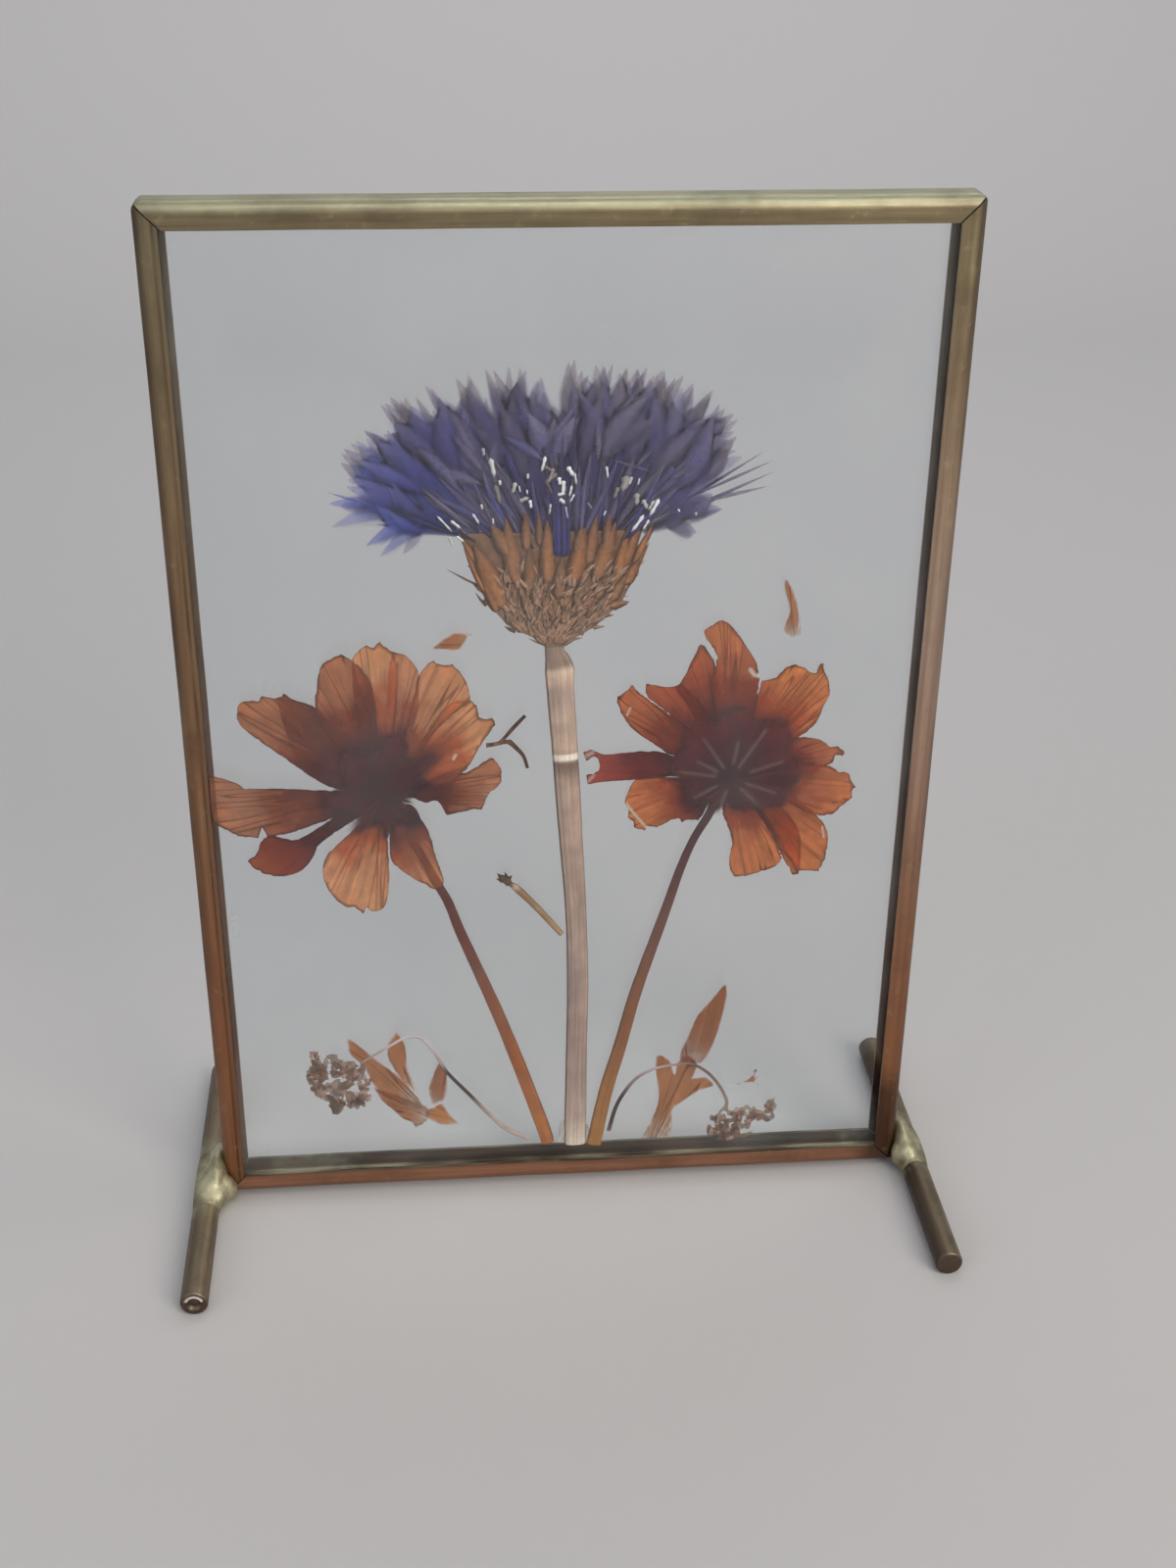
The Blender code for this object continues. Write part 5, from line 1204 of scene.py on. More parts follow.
def floretRows(look, rng):
    # every floret is a tube that opens into a spray of pointed lobes
    rows = []
    for n in range(look["florets"]):
        share = min(1.0, max(0.0, (n + rng.uniform(-0.5, 0.5)) / (look["florets"] - 1)))
        bearing, full = readFan(look["fan"], share)
        x, z = springPoint(look, share)
        face = -1 if n % 5 < 2 else 1
        depth = face * rng.uniform(0.08, 0.2)
        full *= rng.uniform(0.86, 1.0) if abs(depth) < 0.15 else rng.uniform(0.6, 0.94)
        mouth = full * rng.uniform(*look["mouth"])
        stepX, stepZ = heading(bearing, mouth)
        cloud = noise.noise(Vector((share * 9.0, full * 0.14, 1.7 * face)))
        blue = max(0.0, min(1.0, (-54 - bearing) / 12)) * rng.uniform(0.7, 1.0)
        blue = max(blue, 0.4 * max(0.0, cloud), 0.6 * max(0.0, min(1.0, (-18 - bearing) / 40)))
        shared = {"blue": blue, "chaff": 0.0}
        rows.append(placeRow((x, z), (x + stepX * 1.1, z + stepZ * 1.1), depth, rng.uniform(1.1, 1.8), 5,
                             tone=1.1 + 0.3 * cloud, thin=0.7, fade=0.0, **shared))
        lobes = rng.randint(*look["lobes"])
        for k in range(lobes):
            off = (k / (lobes - 1) - 0.5) * 2
            away = bearing + off * look["flare"] + rng.uniform(-4, 4)
            length = (full - mouth) * (1 - 0.12 * off * off) * rng.uniform(0.86, 1.04)
            endX, endZ = heading(away, length)
            rows.append(placeRow(
                (x + stepX * 0.95, z + stepZ * 0.95), (x + stepX + endX, z + stepZ + endZ),
                depth + rng.uniform(-0.04, 0.04), rng.uniform(*look["lobeMm"]), rng.randint(0, 4),
                tone=(1.1 + 0.3 * cloud) * rng.uniform(0.96, 1.1), thin=rng.uniform(0.4, 0.76),
                fade=max(0.0, rng.uniform(-0.15, 0.45) + 0.5 * cloud) * (1 - blue), **shared))
    # a thin, faded fringe shows behind the rim
    for n in range(look["halo"]):
        share = rng.uniform(0.1, 0.97)
        bearing, full = readFan(look["fan"], share)
        x, z = springPoint(look, share)
        stepX, stepZ = heading(bearing, full * 0.6)
        endX, endZ = heading(bearing + rng.uniform(-12, 12), full * rng.uniform(0.34, 0.41))
        rows.append(placeRow((x + stepX, z + stepZ), (x + stepX + endX, z + stepZ + endZ),
                             rng.uniform(0.1, 0.2), rng.uniform(1.3, 2.4), rng.randint(0, 2), tone=1.1,
                             thin=rng.uniform(0.4, 0.65), fade=rng.uniform(0.3, 0.95), blue=0.0, chaff=0.0))
    # small dark disc florets stand close above the bracts
    for n in range(look["short"]):
        share = rng.uniform(0.06, 0.94)
        bearing, full = readFan(look["fan"], share)
        x, z = springPoint(look, share)
        rise = rng.uniform(0.0, 2.0)
        endX, endZ = heading(bearing + rng.uniform(-16, 16), full * rng.uniform(0.26, 0.52))
        rows.append(placeRow((x, z + rise), (x + endX, z + rise + endZ), rng.uniform(-0.5, -0.24),
                             rng.uniform(0.5, 1.2), rng.randint(0, 5), tone=rng.uniform(0.6, 1.25),
                             thin=0.25, fade=rng.choice((0.0, 0.1, 0.3)), blue=rng.choice((0.0, 0.2)),
                             chaff=0.0))
    return rows


def makeFlorets(look, tree, finish, fanSheet):
    # the matted florets between the single lobes are one sheet
    flatPiece("cornflower_florets", "cornflower_florets_matted", fanSheet,
              dict(petalSheet, spacing=0.5, ragged=0.25), (-1.2, 86.0), (-1.2, 113.0), 0.0,
              seed=77, outline=mattedOutline(look), middleMm=-0.02, runOf=fanRun(look))
    rng = random.Random(look["seed"])
    lobe = ((0.0, 0.16), (0.2, 0.34), (0.42, 0.48), (0.6, 0.5), (0.76, 0.38), (0.9, 0.2), (1.0, 0.03))
    tube = ((0.0, 0.16), (0.3, 0.2), (0.6, 0.3), (0.85, 0.46), (1.0, 0.5))
    sliver = ((0.0, 0.05), (0.16, 0.5), (0.45, 0.3), (0.75, 0.42), (1.0, 0.04))
    band = ((0.0, 0.4), (0.15, 0.48), (0.85, 0.5), (1.0, 0.36))
    parts = partSet("floretParts", [
        blade(lobe, 0.0, 0.02, 0.025, (0.35, 1.0)), blade(lobe, 0.5, 0.02, 0.025, (0.35, 1.0)),
        blade(lobe, -0.5, 0.02, 0.025, (0.35, 1.0)), blade(lobe, 1.1, 0.04, 0.025, (0.35, 1.0)),
        blade(lobe, -1.1, 0.04, 0.025, (0.35, 1.0)), blade(tube, 0.0, 0.04, 0.03, (0.0, 0.45)),
        blade(sliver, 0.25, 0.1), blade(band, 0.0, 0.03, 0.03, (0.2, 0.4))])
    rows = floretRows(look, rng)
    for x, z, a, b, width, pale in chaffAndGlintBits:
        rows.append(placeRow((x, z), (a, b), rng.uniform(-0.66, -0.62), width * 1.35, 6, tone=pale, thin=0.0,
                             fade=0.0, blue=0.0, chaff=1.0))
    for x, z, a, b, width, blue, fade in paleLobes:
        rows.append(placeRow((x, z), (a, b), rng.uniform(-0.4, -0.32), width, rng.randint(0, 2), tone=1.1,
                             thin=0.4, fade=fade, blue=blue, chaff=0.0))
    # loose tips: fine ones at the right, a blue sheaf and a pale wisp at the left
    for x, z, a, b, width, blue, fade, thin in (
            (9.6, 93.2, 24.0, 99.6, 0.5, 0, 0.3, 0.1), (9.8, 93.8, 22.8, 102.0, 0.45, 0, 0.3, 0.1),
            (12.0, 95.4, 23.6, 97.9, 0.6, 0, 0.5, 0.35), (14.0, 96.5, 23.9, 100.9, 0.4, 0, 0.4, 0.2),
            (9.0, 92.6, 18.2, 95.2, 1.8, 0, 0.5, 0.6), (9.4, 93.0, 17.4, 96.4, 1.9, 0.1, 0.1, 0.3),
            (-12.0, 92.9, -21.6, 94.2, 1.3, 1.0, 0, 0.45), (-12.2, 93.1, -24.6, 96.9, 1.1, 1.0, 0, 0.05),
            (-12.4, 93.4, -23.0, 98.6, 1.5, 1.0, 0, 0.1), (-12.6, 93.6, -21.4, 95.2, 1.7, 0.9, 0.1, 0.4),
            (-13.0, 94.4, -22.6, 101.4, 1.3, 0.9, 0, 0.2), (-12.8, 94.0, -20.6, 99.4, 1.6, 1.0, 0, 0.0),
            (-15.8, 94.3, -18.6, 90.6, 1.7, 0.2, 0.5, 0.7), (-12.1, 93.0, -26.8, 98.2, 0.7, 0.7, 0.2, 0.1)):
        rows.append(placeRow((x, z), (a, b), rng.uniform(0.1, 0.4), width, 0, tone=1.1, thin=thin, fade=fade,
                             blue=blue, chaff=0.0))
    # a floret that has slipped down over the bracts
    for x, width, thin in ((-0.9, 0.8, 0.1), (-0.2, 0.75, 0.1), (-1.3, 0.4, 0.2), (0.3, 0.4, 0.3)):
        foot = (x + 0.1, 90.0 + abs(x + 0.5) * 0.4)
        rows.append(placeRow((x, 96.4), foot, rng.uniform(-0.66, -0.63), width, 7, tone=1.05, thin=thin,
                             fade=0.0, blue=0.35, chaff=0.0))
    piece = placedPiece("cornflower_florets_fan", rows, parts, tree, finish,
                        ("tone", "blue", "chaff", "thin", "fade"))
    clampTo(piece, "cornflower_florets")
    fadeTips(piece)
    return settle(piece, ["cornflower_florets"])


def fadeTips(piece):
    # a floret thins towards its tip
    attributes = piece.data.attributes
    count = len(piece.data.vertices)
    along, thin, chaff = (np.empty(count, np.float32) for _ in range(3))
    attributes["along"].data.foreach_get("value", along)
    attributes["thin"].data.foreach_get("value", thin)
    attributes["chaff"].data.foreach_get("value", chaff)
    tips = np.clip((along - 0.5) / 0.5, 0, 1) * 0.5 * (1 - chaff)
    attributes["thin"].data.foreach_set("value", np.maximum(thin, tips + thin * 0.4).clip(0, 0.85))


involucre = {
    # height, left side, right side of the swollen base
    "sections": ((78.7, -2.6, 0.3), (79.2, -2.8, 0.6), (79.8, -3.6, 1.5), (80.5, -5.2, 2.8),
                 (81.4, -6.8, 4.1), (83.7, -8.7, 6.5), (86.4, -10.0, 7.8), (89.0, -10.6, 8.5),
                 (91.4, -11.4, 8.7), (93.0, -12.0, 9.2)),
    # big bracts: foot, tip, width, shade, and 0 golden to 1 grey
    "bracts": (
        (-7.3, 83.8, -10.5, 91.8, 2.9, 1.05, 0.0), (-8.9, 85.0, -11.8, 91.3, 0.9, 1.25, 0.0),
        (-6.6, 90.4, -8.6, 94.4, 1.9, 0.8, 0.2), (-9.4, 88.0, -12.4, 93.2, 0.9, 1.0, 0.1),
        (-5.8, 86.9, -6.8, 94.9, 2.2, 0.95, 0.1), (-4.5, 91.0, -4.7, 95.7, 1.2, 0.85, 0.3),
        (-3.0, 91.5, -3.1, 95.8, 0.9, 0.65, 0.4), (-4.1, 85.9, -4.4, 91.4, 1.8, 0.78, 0.25),
        (-2.1, 86.9, -2.1, 94.6, 1.9, 1.05, 0.05), (-0.8, 84.8, -0.6, 90.2, 1.7, 0.85, 0.45),
        (0.8, 86.8, 2.3, 93.6, 2.2, 1.05, 0.05), (1.3, 90.6, 1.8, 94.0, 1.2, 0.8, 0.4),
        (3.5, 87.1, 5.8, 94.1, 2.3, 1.02, 0.05), (2.6, 89.0, 3.4, 95.2, 1.5, 0.88, 0.15),
        (4.7, 91.0, 5.0, 95.2, 1.2, 0.8, 0.3), (5.9, 86.7, 7.2, 93.7, 1.5, 1.12, 0.0),
        (7.0, 86.4, 8.7, 89.6, 1.5, 1.0, -0.2), (6.8, 88.6, 8.6, 94.4, 1.3, 1.0, 0.1),
        (8.0, 89.0, 10.2, 93.9, 0.9, 1.15, 0.0), (5.2, 83.7, 7.5, 84.4, 1.0, 1.05, 0.3),
        (-8.0, 83.4, -9.7, 87.6, 1.2, 0.85, 0.1), (5.4, 84.4, 7.2, 88.0, 1.4, 0.9, 0.3)),
    # thin dark spines that stand off the sides
    "spines": ((-9.6, 86.3, -13.8, 88.5, 0.34), (-9.2, 84.0, -10.6, 85.5, 0.4),
               (-5.8, 80.7, -7.2, 81.0, 0.6), (1.8, 80.7, 3.4, 81.5, 0.42), (-10.2, 88.4, -11.4, 88.9, 0.3)),
    # tips of the small woolly bracts, row by row
    "small": (
        ((-6.6, 87.4), (-5.1, 86.3), (-3.4, 86.6), (-2.3, 86.0), (-1.3, 86.9), (0.2, 86.2), (1.8, 86.8),
         (3.1, 86.2), (4.4, 87.0), (5.8, 86.6)),
        ((-7.6, 85.6), (-6.0, 84.8), (-4.4, 84.9), (-2.8, 84.4), (-1.2, 84.8), (0.4, 84.4), (1.9, 84.8),
         (3.4, 84.6), (4.9, 85.2), (6.2, 85.8)),
        ((-7.0, 83.6), (-5.6, 83.0), (-4.0, 83.1), (-2.4, 82.7), (-0.8, 83.0), (0.8, 82.7), (2.4, 83.0),
         (4.0, 83.6))),
    "wool": 620, "seed": 4,
}


def widthAt(sections, height):
    height = min(max(height, sections[0][0]), sections[-1][0])
    for before, after in zip(sections, sections[1:]):
        if height <= after[0]:
            t = (height - before[0]) / (after[0] - before[0])
            return before[1] + (after[1] - before[1]) * t, before[2] + (after[2] - before[2]) * t


def makeInvolucre(look, tree, finish):
    rng = random.Random(look["seed"])
    bract = ((0.0, 0.2), (0.08, 0.4), (0.2, 0.5), (0.4, 0.5), (0.6, 0.42), (0.78, 0.26), (0.92, 0.12),
             (1.0, 0.02))
    scale = ((0.0, 0.3), (0.3, 0.5), (0.6, 0.46), (0.85, 0.24), (1.0, 0.03))
    spine = ((0.0, 0.5), (0.5, 0.4), (1.0, 0.05))
    parts = partSet("bractParts", [
        blade(bract, 0.0, 0.08, 0.05), blade(bract, 0.15, 0.08, 0.05), blade(scale, 0.1, 0.08, 0.05),
        blade(spine, 0.6, 0.1, 0.05, edge=0.2)])
    rows = []
    left, right = widthAt(look["sections"], 89.0)
    middle, half = (left + right) / 2, (right - left) / 2
    for face in (-1, 1):
        for number, (x, z, a, b, width, shade, grey) in enumerate(look["bracts"]):
            bulge = math.sqrt(max(0.0, 1 - ((x - middle) / half) ** 2))
            depth = face * (0.16 + 0.36 * bulge + 0.02 * (number % 3))
            if face > 0:
                # the far side is a guess, so it mirrors this one
                x, a = 2 * middle - x, 2 * middle - a
            rows.append(placeRow((x, z), (a, b), depth, width, number % 2, tone=shade * 0.98, level=grey))
        for level, tips in enumerate(look["small"]):
            for x, z in tips:
                bulge = math.sqrt(max(0.0, 1 - ((x - middle) / (half + 0.5)) ** 2))
                length = rng.uniform(2.4, 3.2) * (1 - 0.12 * level)
                lean = (x - middle) / half * (0.55 + 0.2 * level)
                foot = (x - length * math.sin(lean) + rng.uniform(-0.15, 0.15), z - length * math.cos(lean))
                depth = face * (0.12 + 0.32 * bulge - 0.02 * level)
                rows.append(placeRow(foot, (x, z + rng.uniform(-0.2, 0.2)), depth,
                                     rng.uniform(1.2, 1.9), 2, tone=rng.uniform(0.75, 1.1),
                                     level=min(1.0, 0.45 + 0.3 * level + rng.uniform(-0.2, 0.2))))
    # woolly hairs felt over the lower half
    for n in range(look["wool"]):
        z = look["sections"][0][0] + 0.3 + 9.5 * rng.random() ** 1.3
        left, right = widthAt(look["sections"], z)
        share = rng.uniform(-0.97, 0.97)
        x = (left + right) / 2 + (right - left) / 2 * share
        length, lean = rng.uniform(0.7, 1.9), share * 0.8 + rng.uniform(-0.5, 0.5)
        depth = rng.choice((-1, 1)) * (0.16 + 0.42 * math.sqrt(1 - share * share))
        tip = (x + length * math.sin(lean), z + length * math.cos(lean))
        rows.append(placeRow((x, z), tip, depth, rng.uniform(0.25, 0.7), 3, tone=rng.uniform(0.85, 1.5),
                             level=rng.uniform(0.5, 1.0)))
    for x, z, a, b, width in look["spines"]:
        rows.append(placeRow((x, z), (a, b), 0.0, width, 3, tone=0.6, level=0.5))
    piece = placedPiece("cornflower_involucre_bracts", rows, parts, tree, finish, ("tone", "level"))
    joinInto(piece, involucreBody(look, finish))
    clampTo(piece, "cornflower_involucre")
    return settle(piece, ["cornflower_involucre"])


def involucreBody(look, finish):
    # the swollen base itself, lens shaped in section
    points = []
    sections = look["sections"]
    levels = [sections[0][0] + (sections[-1][0] - sections[0][0]) * k / 40 for k in range(41)]
    around = 48
    for height in levels:
        left, right = widthAt(sections, height)
        for k in range(around):
            angle = 2 * math.pi * k / around
            x = (left + right) / 2 + (right - left) / 2 * 0.98 * math.cos(angle)
            points.append((x * mm, 0.4 * math.sin(angle) * mm, height * mm))
    count = len(points)
    # higher up, where the body shows only between the bracts, it is darker: painted shade; low down it is
    # greyer wool
    rise = [min(1.0, max(0.0, (p[2] / mm - 82) / 6)) for p in points]
    body = meshObject("involucreBody", points, ringFaces(len(levels), around), finish, {
        "along": [0.3] * count, "tone": [1.0 - 0.42 * r for r in rise], "rim": [0.0] * count,
        "level": [1.0 - 0.5 * r for r in rise]})
    return turnOutwards(body)


def joinInto(piece, other):
    both = [piece, other]
    with bpy.context.temp_override(active_object=piece, object=piece, selected_objects=both,
                                   selected_editable_objects=both):
        bpy.ops.object.join()


# hearts, crumbs and leaves

goldenAngle = 2.399963  # the turn from one floret of a composite flower to the next


def discTree():
    # grains set by the golden angle, as a composite flower sets its florets
    add, given = newTree("disc grains", {
        "Count": ("NodeSocketInt", 90), "Radius": ("NodeSocketFloat", 2.2 * mm),
        "Grain": ("NodeSocketFloat", 0.5 * mm), "Middle": ("NodeSocketVector", None),
        "Flatness": ("NodeSocketFloat", 0.3), "Seed": ("NodeSocketInt", 3),
        "Finish": ("NodeSocketMaterial", None)})
    line = add("GeometryNodeMeshLine", {"Count": given["Count"]})
    index = add("GeometryNodeInputIndex")
    share = add("Math", {0: index, 1: given["Count"]}, operation="DIVIDE")
    root = add("Math", {0: share}, operation="SQRT")
    out = add("Math", {0: root, 1: given["Radius"]}, operation="MULTIPLY")
    angle = add("Math", {0: index, 1: goldenAngle}, operation="MULTIPLY")
    cosine = add("Math", {0: angle}, operation="COSINE")
    sine = add("Math", {0: angle}, operation="SINE")
    x = add("Math", {0: out, 1: cosine}, operation="MULTIPLY")
    z = add("Math", {0: out, 1: sine}, operation="MULTIPLY")
    flat = add("CombineXYZ", {0: x, 2: z})
    spot = add("VectorMath", {0: flat, 1: given["Middle"]}, operation="ADD")
    spread = add("GeometryNodeSetPosition", {"Geometry": line, "Position": spot})
    grain = add("GeometryNodeMeshIcoSphere", {"Radius": given["Grain"], "Subdivisions": 2})
    size = add("FunctionNodeRandomValue", {
        0: (0.5, 0.25, 0.7), 1: (0.9, 0.5, 1.5), "Seed": given["Seed"]}, data_type="FLOAT_VECTOR")
    turn = add("FunctionNodeRandomValue", {
        0: (-0.2, -3.1, -0.2), 1: (0.2, 3.1, 0.2), "Seed": given["Seed"]}, data_type="FLOAT_VECTOR")
    spin = add("FunctionNodeEulerToRotation", {0: turn})
    placed = add("GeometryNodeInstanceOnPoints", {
        "Points": spread, "Instance": grain, "Scale": size,
        "Rotation": spin})
    tone = add("FunctionNodeRandomValue", {2: 0.55, 3: 1.3, "Seed": given["Seed"]})
    toned = add("GeometryNodeStoreNamedAttribute", {
        "Geometry": placed, "Name": "tone", "Value": tone.outputs[1]}, domain="INSTANCE")
    ringed = add("GeometryNodeStoreNamedAttribute", {
        "Geometry": toned, "Name": "along", "Value": root}, domain="INSTANCE")
    return finishTree(add, ringed, given["Finish"])


rightCalyx = {
    # bearing clockwise from upright and reach of each rounded lobe, and the thin midribs between
    "lobes": ((2, 10.4), (40, 10.6), (86, 9.6), (124, 8.2), (168, 5.0), (200, 5.6), (236, 6.4), (284, 8.4),
              (326, 10.2)),
    "dip": 0.14, "ribHalfWidth": 1.2, "ribStrength": 0.31,
    "ribs": ((-33, 1.8, 6.5), (32, 1.8, 7.6), (-80, 2.0, 6.4), (-60, 2.0, 4.8), (72, 2.6, 6.6),
             (8, 2.2, 5.0), (112, 2.2, 6.0), (138, 2.0, 7.6), (196, 1.8, 4.4), (240, 2.0, 5.0)),
}


def lobedOutline(middle, shape):
    # a ring of rounded lobes, anticlockwise
    lobes, points = shape["lobes"], []
    for step in range(0, 360, 4):
        for (a, reachA), (b, reachB) in zip(lobes, lobes[1:] + ((lobes[0][0] + 360, lobes[0][1]),)):
            if a <= step < b or a <= step + 360 < b:
                share = ((step if step >= a else step + 360) - a) / (b - a)
                reach = reachA + (reachB - reachA) * share
                reach *= 1 - shape["dip"] * (1 - abs(math.cos(math.pi * share)))
                outX, outZ = heading(step, reach)
                points.append(Vector((middle[0] + outX, middle[1] + outZ)))
    return points[::-1]


leftCalyx = {
    # dark pointed lobes, broad where they meet
    "lobes": ((14, 9.0), (56, 9.2), (84, 6.6), (106, 3.8), (140, 6.8), (178, 6.8), (216, 7.2), (256, 7.8),
              (318, 8.0)),
    "dip": 0.3, "ribs": (),
}


heartSheet = dict(petalSheet, ragged=0.2, thin=0.015, thick=0.025, wave=0.01)


def makeHeart(name, middle, grains, tree, husk, sepal, calyx):
    # the bracts are a pressed sheet, and the grains of the disc stand on it
    x, z = middle
    outline = lobedOutline(middle, calyx)
    marks = [([(x + outX, z + outZ) for outX, outZ in (heading(bearing, reach) for reach in ends)],
              calyx["ribHalfWidth"], calyx["ribStrength"]) for bearing, *ends in calyx["ribs"]]
    flatPiece(name, name + "_bracts", sepal, heartSheet, (x, z), (x, z + 11), 1.0, marks,
              seed=31, outline=outline, spread=0.0, middleMm=-0.71)
    for number, (depth, look) in enumerate(grains):
        disc = newObject(f"{name}_disc_{number}", bpy.data.meshes.new(f"{name}_disc_{number}"))
        addTree(disc, tree, {
            "Count": look["count"], "Radius": look["radius"] * mm, "Grain": look["size"] * mm,
            "Middle": ((x + look.get("shift", 0.0)) * mm, depth * mm, z * mm), "Seed": look["seed"],
            "Finish": husk})
        flattenModifiers(disc)
        disc.data.shade_smooth()
        settle(disc, [name])


crumbs = {
    "left_sprig_florets": {"count": 100, "size": 1.6, "seed": 3, "depth": (-0.2, 0.6)},
    "right_sprig_florets": {"count": 75, "size": 1.4, "seed": 8, "depth": (-0.2, 0.6)},
}


def makeCrumbs(name, look, tree, finish):
    # a cluster of dried florets: crumpled scraps over the lump's own shape
    rng = random.Random(look["seed"])
    scrap = ((0.0, 0.3), (0.2, 0.5), (0.55, 0.28), (0.8, 0.46), (1.0, 0.2))
    strip = ((0.0, 0.08), (0.4, 0.3), (0.6, 0.16), (0.85, 0.26), (1.0, 0.04))
    parts = partSet(name + "Parts", [
        blade(scrap, 0.1, 0.3, 0.05), blade(scrap, -0.3, 0.2, 0.05), blade(strip, 0.3, 0.3, 0.04),
        blade(strip, -0.3, 0.2, 0.04)])
    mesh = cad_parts[name].data
    mesh.calc_loop_triangles()
    triangles = [[mesh.vertices[i].co.copy() for i in t.vertices] for t in mesh.loop_triangles]
    triangles = [t for t in triangles if (t[1] - t[0]).cross(t[2] - t[0]).y < 0]
    areas = [(b - a).cross(c - a).length for a, b, c in triangles]
    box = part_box(name)
    rows = []
    for n in range(look["count"]):
        a, b, c = rng.choices(triangles, areas)[0]
        u, v = sorted((rng.random(), rng.random()))
        spot = a * u + b * (v - u) + c * (1 - v)
        size = look["size"] * rng.uniform(0.5, 1.3)
        y = rng.uniform(*look["depth"])
        bearing = rng.uniform(0, 360)
        rows.append({
            "place": ((spot.x / mm - 0.4 * size * math.sin(math.radians(bearing))) * mm, y * mm,
                      (spot.z / mm - 0.4 * size * math.cos(math.radians(bearing))) * mm),
            "turn": (rng.uniform(-0.15, 0.15), math.radians(bearing), rng.uniform(-0.3, 0.3)),
            "size": (size * rng.uniform(0.7, 1.2) * mm, mm, size * mm), "kind": rng.randint(0, 3),
            "tone": rng.choice((0.5, 1.0, 1.15, 1.3, 1.5)) * rng.uniform(0.9, 1.1),
            "level": rng.random() ** 1.5, "thin": rng.uniform(0.5, 0.88)})
    piece = placedPiece(name + "_scraps", rows, parts, tree, finish, ("tone", "level", "thin"))
    for vert in piece.data.vertices:
        vert.co = heldIn(vert.co, box)
    return settle(piece, [name])


leafRuns = {
    # foot, tip and tone of each leaf and scrap
    "left_sprig_leaf_long": ((-18.6, 12.0), (-28.3, 24.2), 0.35),
    "left_sprig_leaf_upper": ((-19.1, 14.0), (-21.9, 24.5), 0.3),
    "left_sprig_leaf_right": ((-17.4, 12.4), (-16.4, 19.3), 0.75),
    "left_sprig_leaf_low": ((-18.4, 10.6), (-25.2, 15.6), 0.6),
    "left_sprig_base": ((-14.0, 8.7), (-18.2, 11.3), 0.0),
    "right_sprig_leaf_long": ((17.8, 17.0), (21.3, 30.0), 0.75),
    "right_sprig_leaf_fan": ((12.4, 5.4), (16.2, 19.0), 0.35),
    "right_sprig_twig": ((22.0, 13.9), (26.9, 15.0), 0.6),
    "loose_petal": ((-9.8, 79.0), (-15.8, 78.7), 0.25),
    "loose_floret": ((27.4, 79.0), (25.9, 86.4), 0.35),
    "loose_filament": ((-9.3, 65.8), (-4.6, 69.6), 0.5),
}


def makeLeaves(runs, leaf, filament):
    fineSheet = dict(petalSheet, spacing=0.3, ragged=0.1)
    hairSheet = dict(petalSheet, ragged=0.0)
    for number, (name, (foot, tip, tone)) in enumerate(runs.items()):
        finish, sheet = (filament, hairSheet) if name == "loose_filament" else (leaf, fineSheet)
        flatPiece(name, name + "_pressed", finish, sheet, foot, tip, tone, seed=60 + number)


# stage, light and camera

cameraSetting = {"place": (-16.44, -213.43, 172.59), "yaw": 5.192, "pitch": 27.746, "roll": 0.532,
                 "lens": 45.19}
stageSetting = {"floor": "#d3d1d0", "halfWidth": 900.0, "front": -900.0, "back": 420.0, "curve": 260.0,
                "wall": 900.0}


def makeCamera(look):
    yaw, pitch, roll = (math.radians(look[key]) for key in ("yaw", "pitch", "roll"))
    forward = Vector((math.sin(yaw) * math.cos(pitch), math.cos(yaw) * math.cos(pitch), -math.sin(pitch)))
    level = Vector((math.cos(yaw), -math.sin(yaw), 0.0))
    upright = level.cross(forward)
    right = level * math.cos(roll) + upright * math.sin(roll)
    up = upright * math.cos(roll) - level * math.sin(roll)
    data = bpy.data.cameras.new("camera")
    data.sensor_width = 36.0
    data.lens = look["lens"]
    data.clip_start, data.clip_end = 0.01, 10.0
    camera = newObject("camera", data)
    turn = Matrix((right, up, -forward)).transposed().to_4x4()
    camera.matrix_world = Matrix.Translation(Vector(look["place"]) * mm) @ turn
    bpy.context.scene.camera = camera


def plainPaper(name, hexColour):
    # matt paper sweep with a barely visible tooth
    material, add = newMaterial(name)
    spot = add("TexCoord").outputs["Object"]
    tooth = add("TexNoise", {"Vector": spot, "Scale": 1 / (0.5 * mm), "Detail": 3.0})
    bump = add("Bump", {"Strength": 0.15, "Distance": 0.05 * mm, "Height": tooth})
    shader = add("BsdfPrincipled", {
        "Base Color": hexColour, "Roughness": 0.85, "Specular IOR Level": 0.2, "Normal": bump})
    add("OutputMaterial", {0: shader})
    return material


def makeStage(look):
    path = [(look["front"], 0.0), (look["back"], 0.0)]
    path += [(look["back"] + look["curve"] * math.sin(t), look["curve"] * (1 - math.cos(t)))
             for t in (math.pi / 2 * k / 16 for k in range(1, 17))]
    path.append((look["back"] + look["curve"], look["wall"]))
    points = [Vector((side * look["halfWidth"], y, z)) * mm for y, z in path for side in (-1, 1)]
    faces = [(2 * i, 2 * i + 1, 2 * i + 3, 2 * i + 2) for i in range(len(path) - 1)]
    meshObject("paper_sweep", points, faces, plainPaper("sweep paper", look["floor"]))


lamps = {
    # place, aim and size in mm, power in watts, colour
    "window": ((420, -640, 430), (0, 0, 60), 460, 3.0, "#fff6ea"),
    "bounce": ((-600, -560, 330), (0, 0, 60), 500, 1.0, "#eef3ff"),
    "top": ((100, -330, 690), (0, 0, 60), 420, 0.75, "#fffdf8"),
    "backdrop": ((60, 330, 620), (40, 640, 150), 520, 0.9, "#f6f8ff"),
}


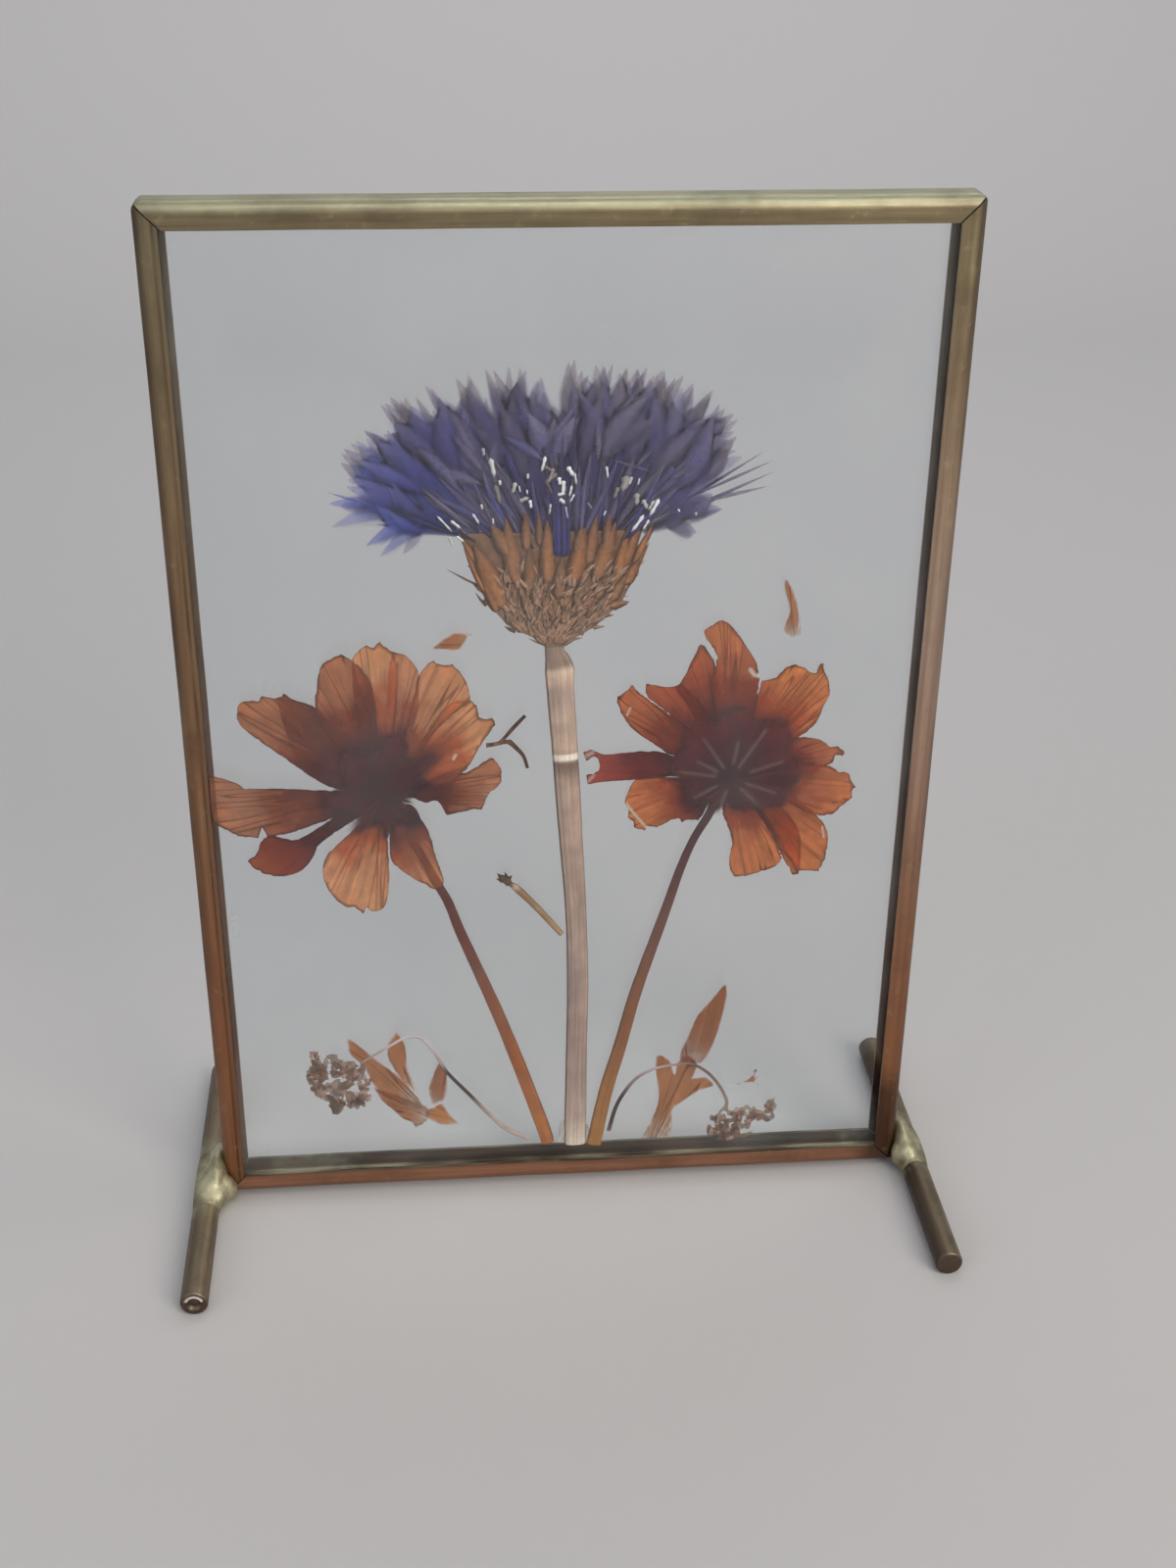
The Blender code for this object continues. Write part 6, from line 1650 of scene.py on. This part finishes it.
def makeLights(looks, sky):
    for name, (place, aim, size, power, colour) in looks.items():
        data = bpy.data.lights.new(name, "AREA")
        data.shape = "DISK"
        data.size = size * mm
        data.energy = power
        data.color = linear(colour)[:3]
        lamp = newObject(name, data)
        lamp.location = Vector(place) * mm
        lamp.rotation_euler = (Vector(aim) * mm - lamp.location).to_track_quat("-Z", "Y").to_euler()
    world = bpy.data.worlds.new("room")
    world.use_nodes = True
    world.node_tree.nodes["Background"].inputs[0].default_value = linear(sky[0])
    world.node_tree.nodes["Background"].inputs[1].default_value = sky[1]
    bpy.context.scene.world = world


def makeAll():
    makeCamera(cameraSetting)
    makeStage(stageSetting)
    makeLights(lamps, ("#e6e9ef", 0.38))
    bpy.context.scene.view_settings.view_transform = "Standard"
    print("camera, sweep and lamps are set")

    brass = patinatedBrass("patinated brass channel", channelFinish)
    for name in channelShape["sides"]:
        makeChannel(name, channelShape, brass)
    rodBrass = patinatedBrass("dull brass rod", rodFinish)
    makeRod("foot_left", -1, True, rodShape, rodBrass)
    makeRod("foot_right", 1, False, rodShape, rodBrass)
    solder = softSolder("tin solder")
    for name in solderShapes:
        makeSolder(name, solderShapes, solder)
    glass = clearGlass("picture glass", glassSmears)
    for name in ("pane_front", "pane_back"):
        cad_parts[name].data.materials.clear()
        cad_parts[name].data.materials.append(glass)
    print("frame, rods, solder and glass are made")

    petal = pressedPetal("pressed cosmos petal", petalFinish)
    leaf = pressedPetal("pressed leaf", leafFinish)
    makePetals("left_cosmos", leftCosmos, petal)
    makePetals("right_cosmos", rightCosmos, pressedPetal("pressed red cosmos petal", rightPetalFinish))
    discHusk = dryHusk("dark disc floret", ((0.0, "#331a20"), (0.6, "#381b21"), (1.0, "#2a1218")),
                       ((0.0, "#331a20"), (1.0, "#381b21")), "#2a1418")
    sepal = pressedPetal("pressed sepal", heartFinish)
    grains = discTree()
    makeHeart("left_cosmos_heart", leftCosmos["middle"],
              ((-0.5, {"count": 70, "radius": 1.9, "size": 0.3, "seed": 3}),), grains, discHusk,
              sepal, leftCalyx)
    makeHeart("right_cosmos_heart", rightCosmos["middle"],
              ((0.46, {"count": 80, "radius": 2.0, "size": 0.34, "seed": 5}),
               (-0.3, {"count": 60, "radius": 1.5, "size": 0.3, "seed": 6, "shift": -0.5})),
              grains, discHusk, sepal, rightCalyx)
    print("both cosmos are pressed")

    finishes = {
        "straw": driedStem("straw stem", (
            (0.0, "#917c6e"), (0.042, "#917868"), (0.052, "#dcc0aa"), (0.07, "#d0b09a"),
            (0.085, "#b0978a"), (0.19, "#bea28e"), (0.199, "#a88c7a"), (0.2035, "#ecdccc"),
            (0.212, "#e8d8c8"), (0.2155, "#75594a"), (0.23, "#846a5e"), (0.25, "#a98e7e"),
            (0.6, "#a48b7f"), (0.8, "#a0867c"), (0.93, "#b0978c"), (1.0, "#d8c8b6")), 0.34),
        "shoot": driedStem("thin side shoot", (
            (0.0, "#4a3828"), (0.16, "#5c4630"), (0.22, "#c0a488"), (0.28, "#8c6c50"),
            (1.0, "#a58463")), 0.3),
        "brown": driedStem("brown cosmos stem", (
            (0.0, "#37181f"), (0.22, "#502626"), (0.45, "#6c3826"), (0.75, "#965428"),
            (1.0, "#ac6830")), 0.3),
        "golden": driedStem("golden cosmos stem", (
            (0.0, "#35181f"), (0.2, "#4a2426"), (0.4, "#603428"), (0.7, "#84502c"), (1.0, "#a06c34")), 0.3),
        # pale over its arch, partly a painted highlight
        "thread": driedStem("hair-thin stem", (
            (0.0, "#947a74"), (0.22, "#cdc0c2"), (0.44, "#b4a2a4"), (0.5, "#38242a"),
            (0.66, "#4a3434"), (0.74, "#a8968e"), (1.0, "#c0aea4")), 0.3),
        "dark thread": driedStem("dark hair-thin stem", (
            (0.0, "#7a605c"), (0.05, "#452c30"), (0.2, "#3a242a"), (0.28, "#8a7476"),
            (0.42, "#b4a0a0"), (0.6, "#6e5048"), (0.8, "#8a7068"), (1.0, "#a09088")), 0.3),
    }
    stalkShaper = stalkTree()
    for number, (name, look) in enumerate(stalks.items()):
        makeStalk(name, look, stalkShaper, finishes, number + 1.5)
    placer = placingTree()
    budBrown = ((0.0, "#6a4a34"), (1.0, "#33221a"))
    makeBud(budScales, placer, dryHusk("dark bud scale", budBrown, budBrown, "#241812"))
    # pale films of skin that stayed at the stem's foot
    skinTones = ((0.0, "#f4ece2"), (1.0, "#e6dccf"))
    film = pressedPetal("dry skin film", dict(
        leafFinish, light=skinTones, dark=skinTones, through=(0.8, 0.86)))
    for number, outline in enumerate((((-0.9, 5.2), (0.6, 5.2), (0.5, 8.4), (0.0, 9.6), (-0.5, 9.0)),
                                      ((2.7, 5.2), (3.6, 5.2), (3.7, 7.6), (3.2, 8.7), (2.7, 7.9)))):
        flatPiece("cornflower_stem", f"cornflower_stem_film_{number}", film,
                  dict(petalSheet, ragged=0.3), outline[0], outline[3], 0.0, seed=90 + number,
                  outline=[Vector(p) for p in outline], middleMm=0.0)
    print("stems are drawn")

    makeFlorets(floretFan, placer, pressedFloret("cornflower floret", floretFinish),
                pressedPetal("matted florets", fanFinish))
    makeInvolucre(involucre, placer, dryHusk("cornflower bract", (
        (0.0, "#a67352"), (0.35, "#a86f48"), (0.75, "#946444"), (1.0, "#765440")),
        ((0.0, "#a88a76"), (0.5, "#9c806c"), (1.0, "#866c5a")), "#583c2e"))
    print("the cornflower is made")

    crumb = dryHusk("crumbled floret", ((0.0, "#dec2b2"), (0.6, "#bf9a88"), (1.0, "#9e7868")),
                    ((0.0, "#8e6250"), (1.0, "#6a4234")), "#e6d4ca")
    for name, look in crumbs.items():
        makeCrumbs(name, look, placer, crumb)
    makeLeaves(leafRuns, leaf, pressedPetal("dry filament", filamentFinish))
    print("sprays and loose bits are made")


makeAll()
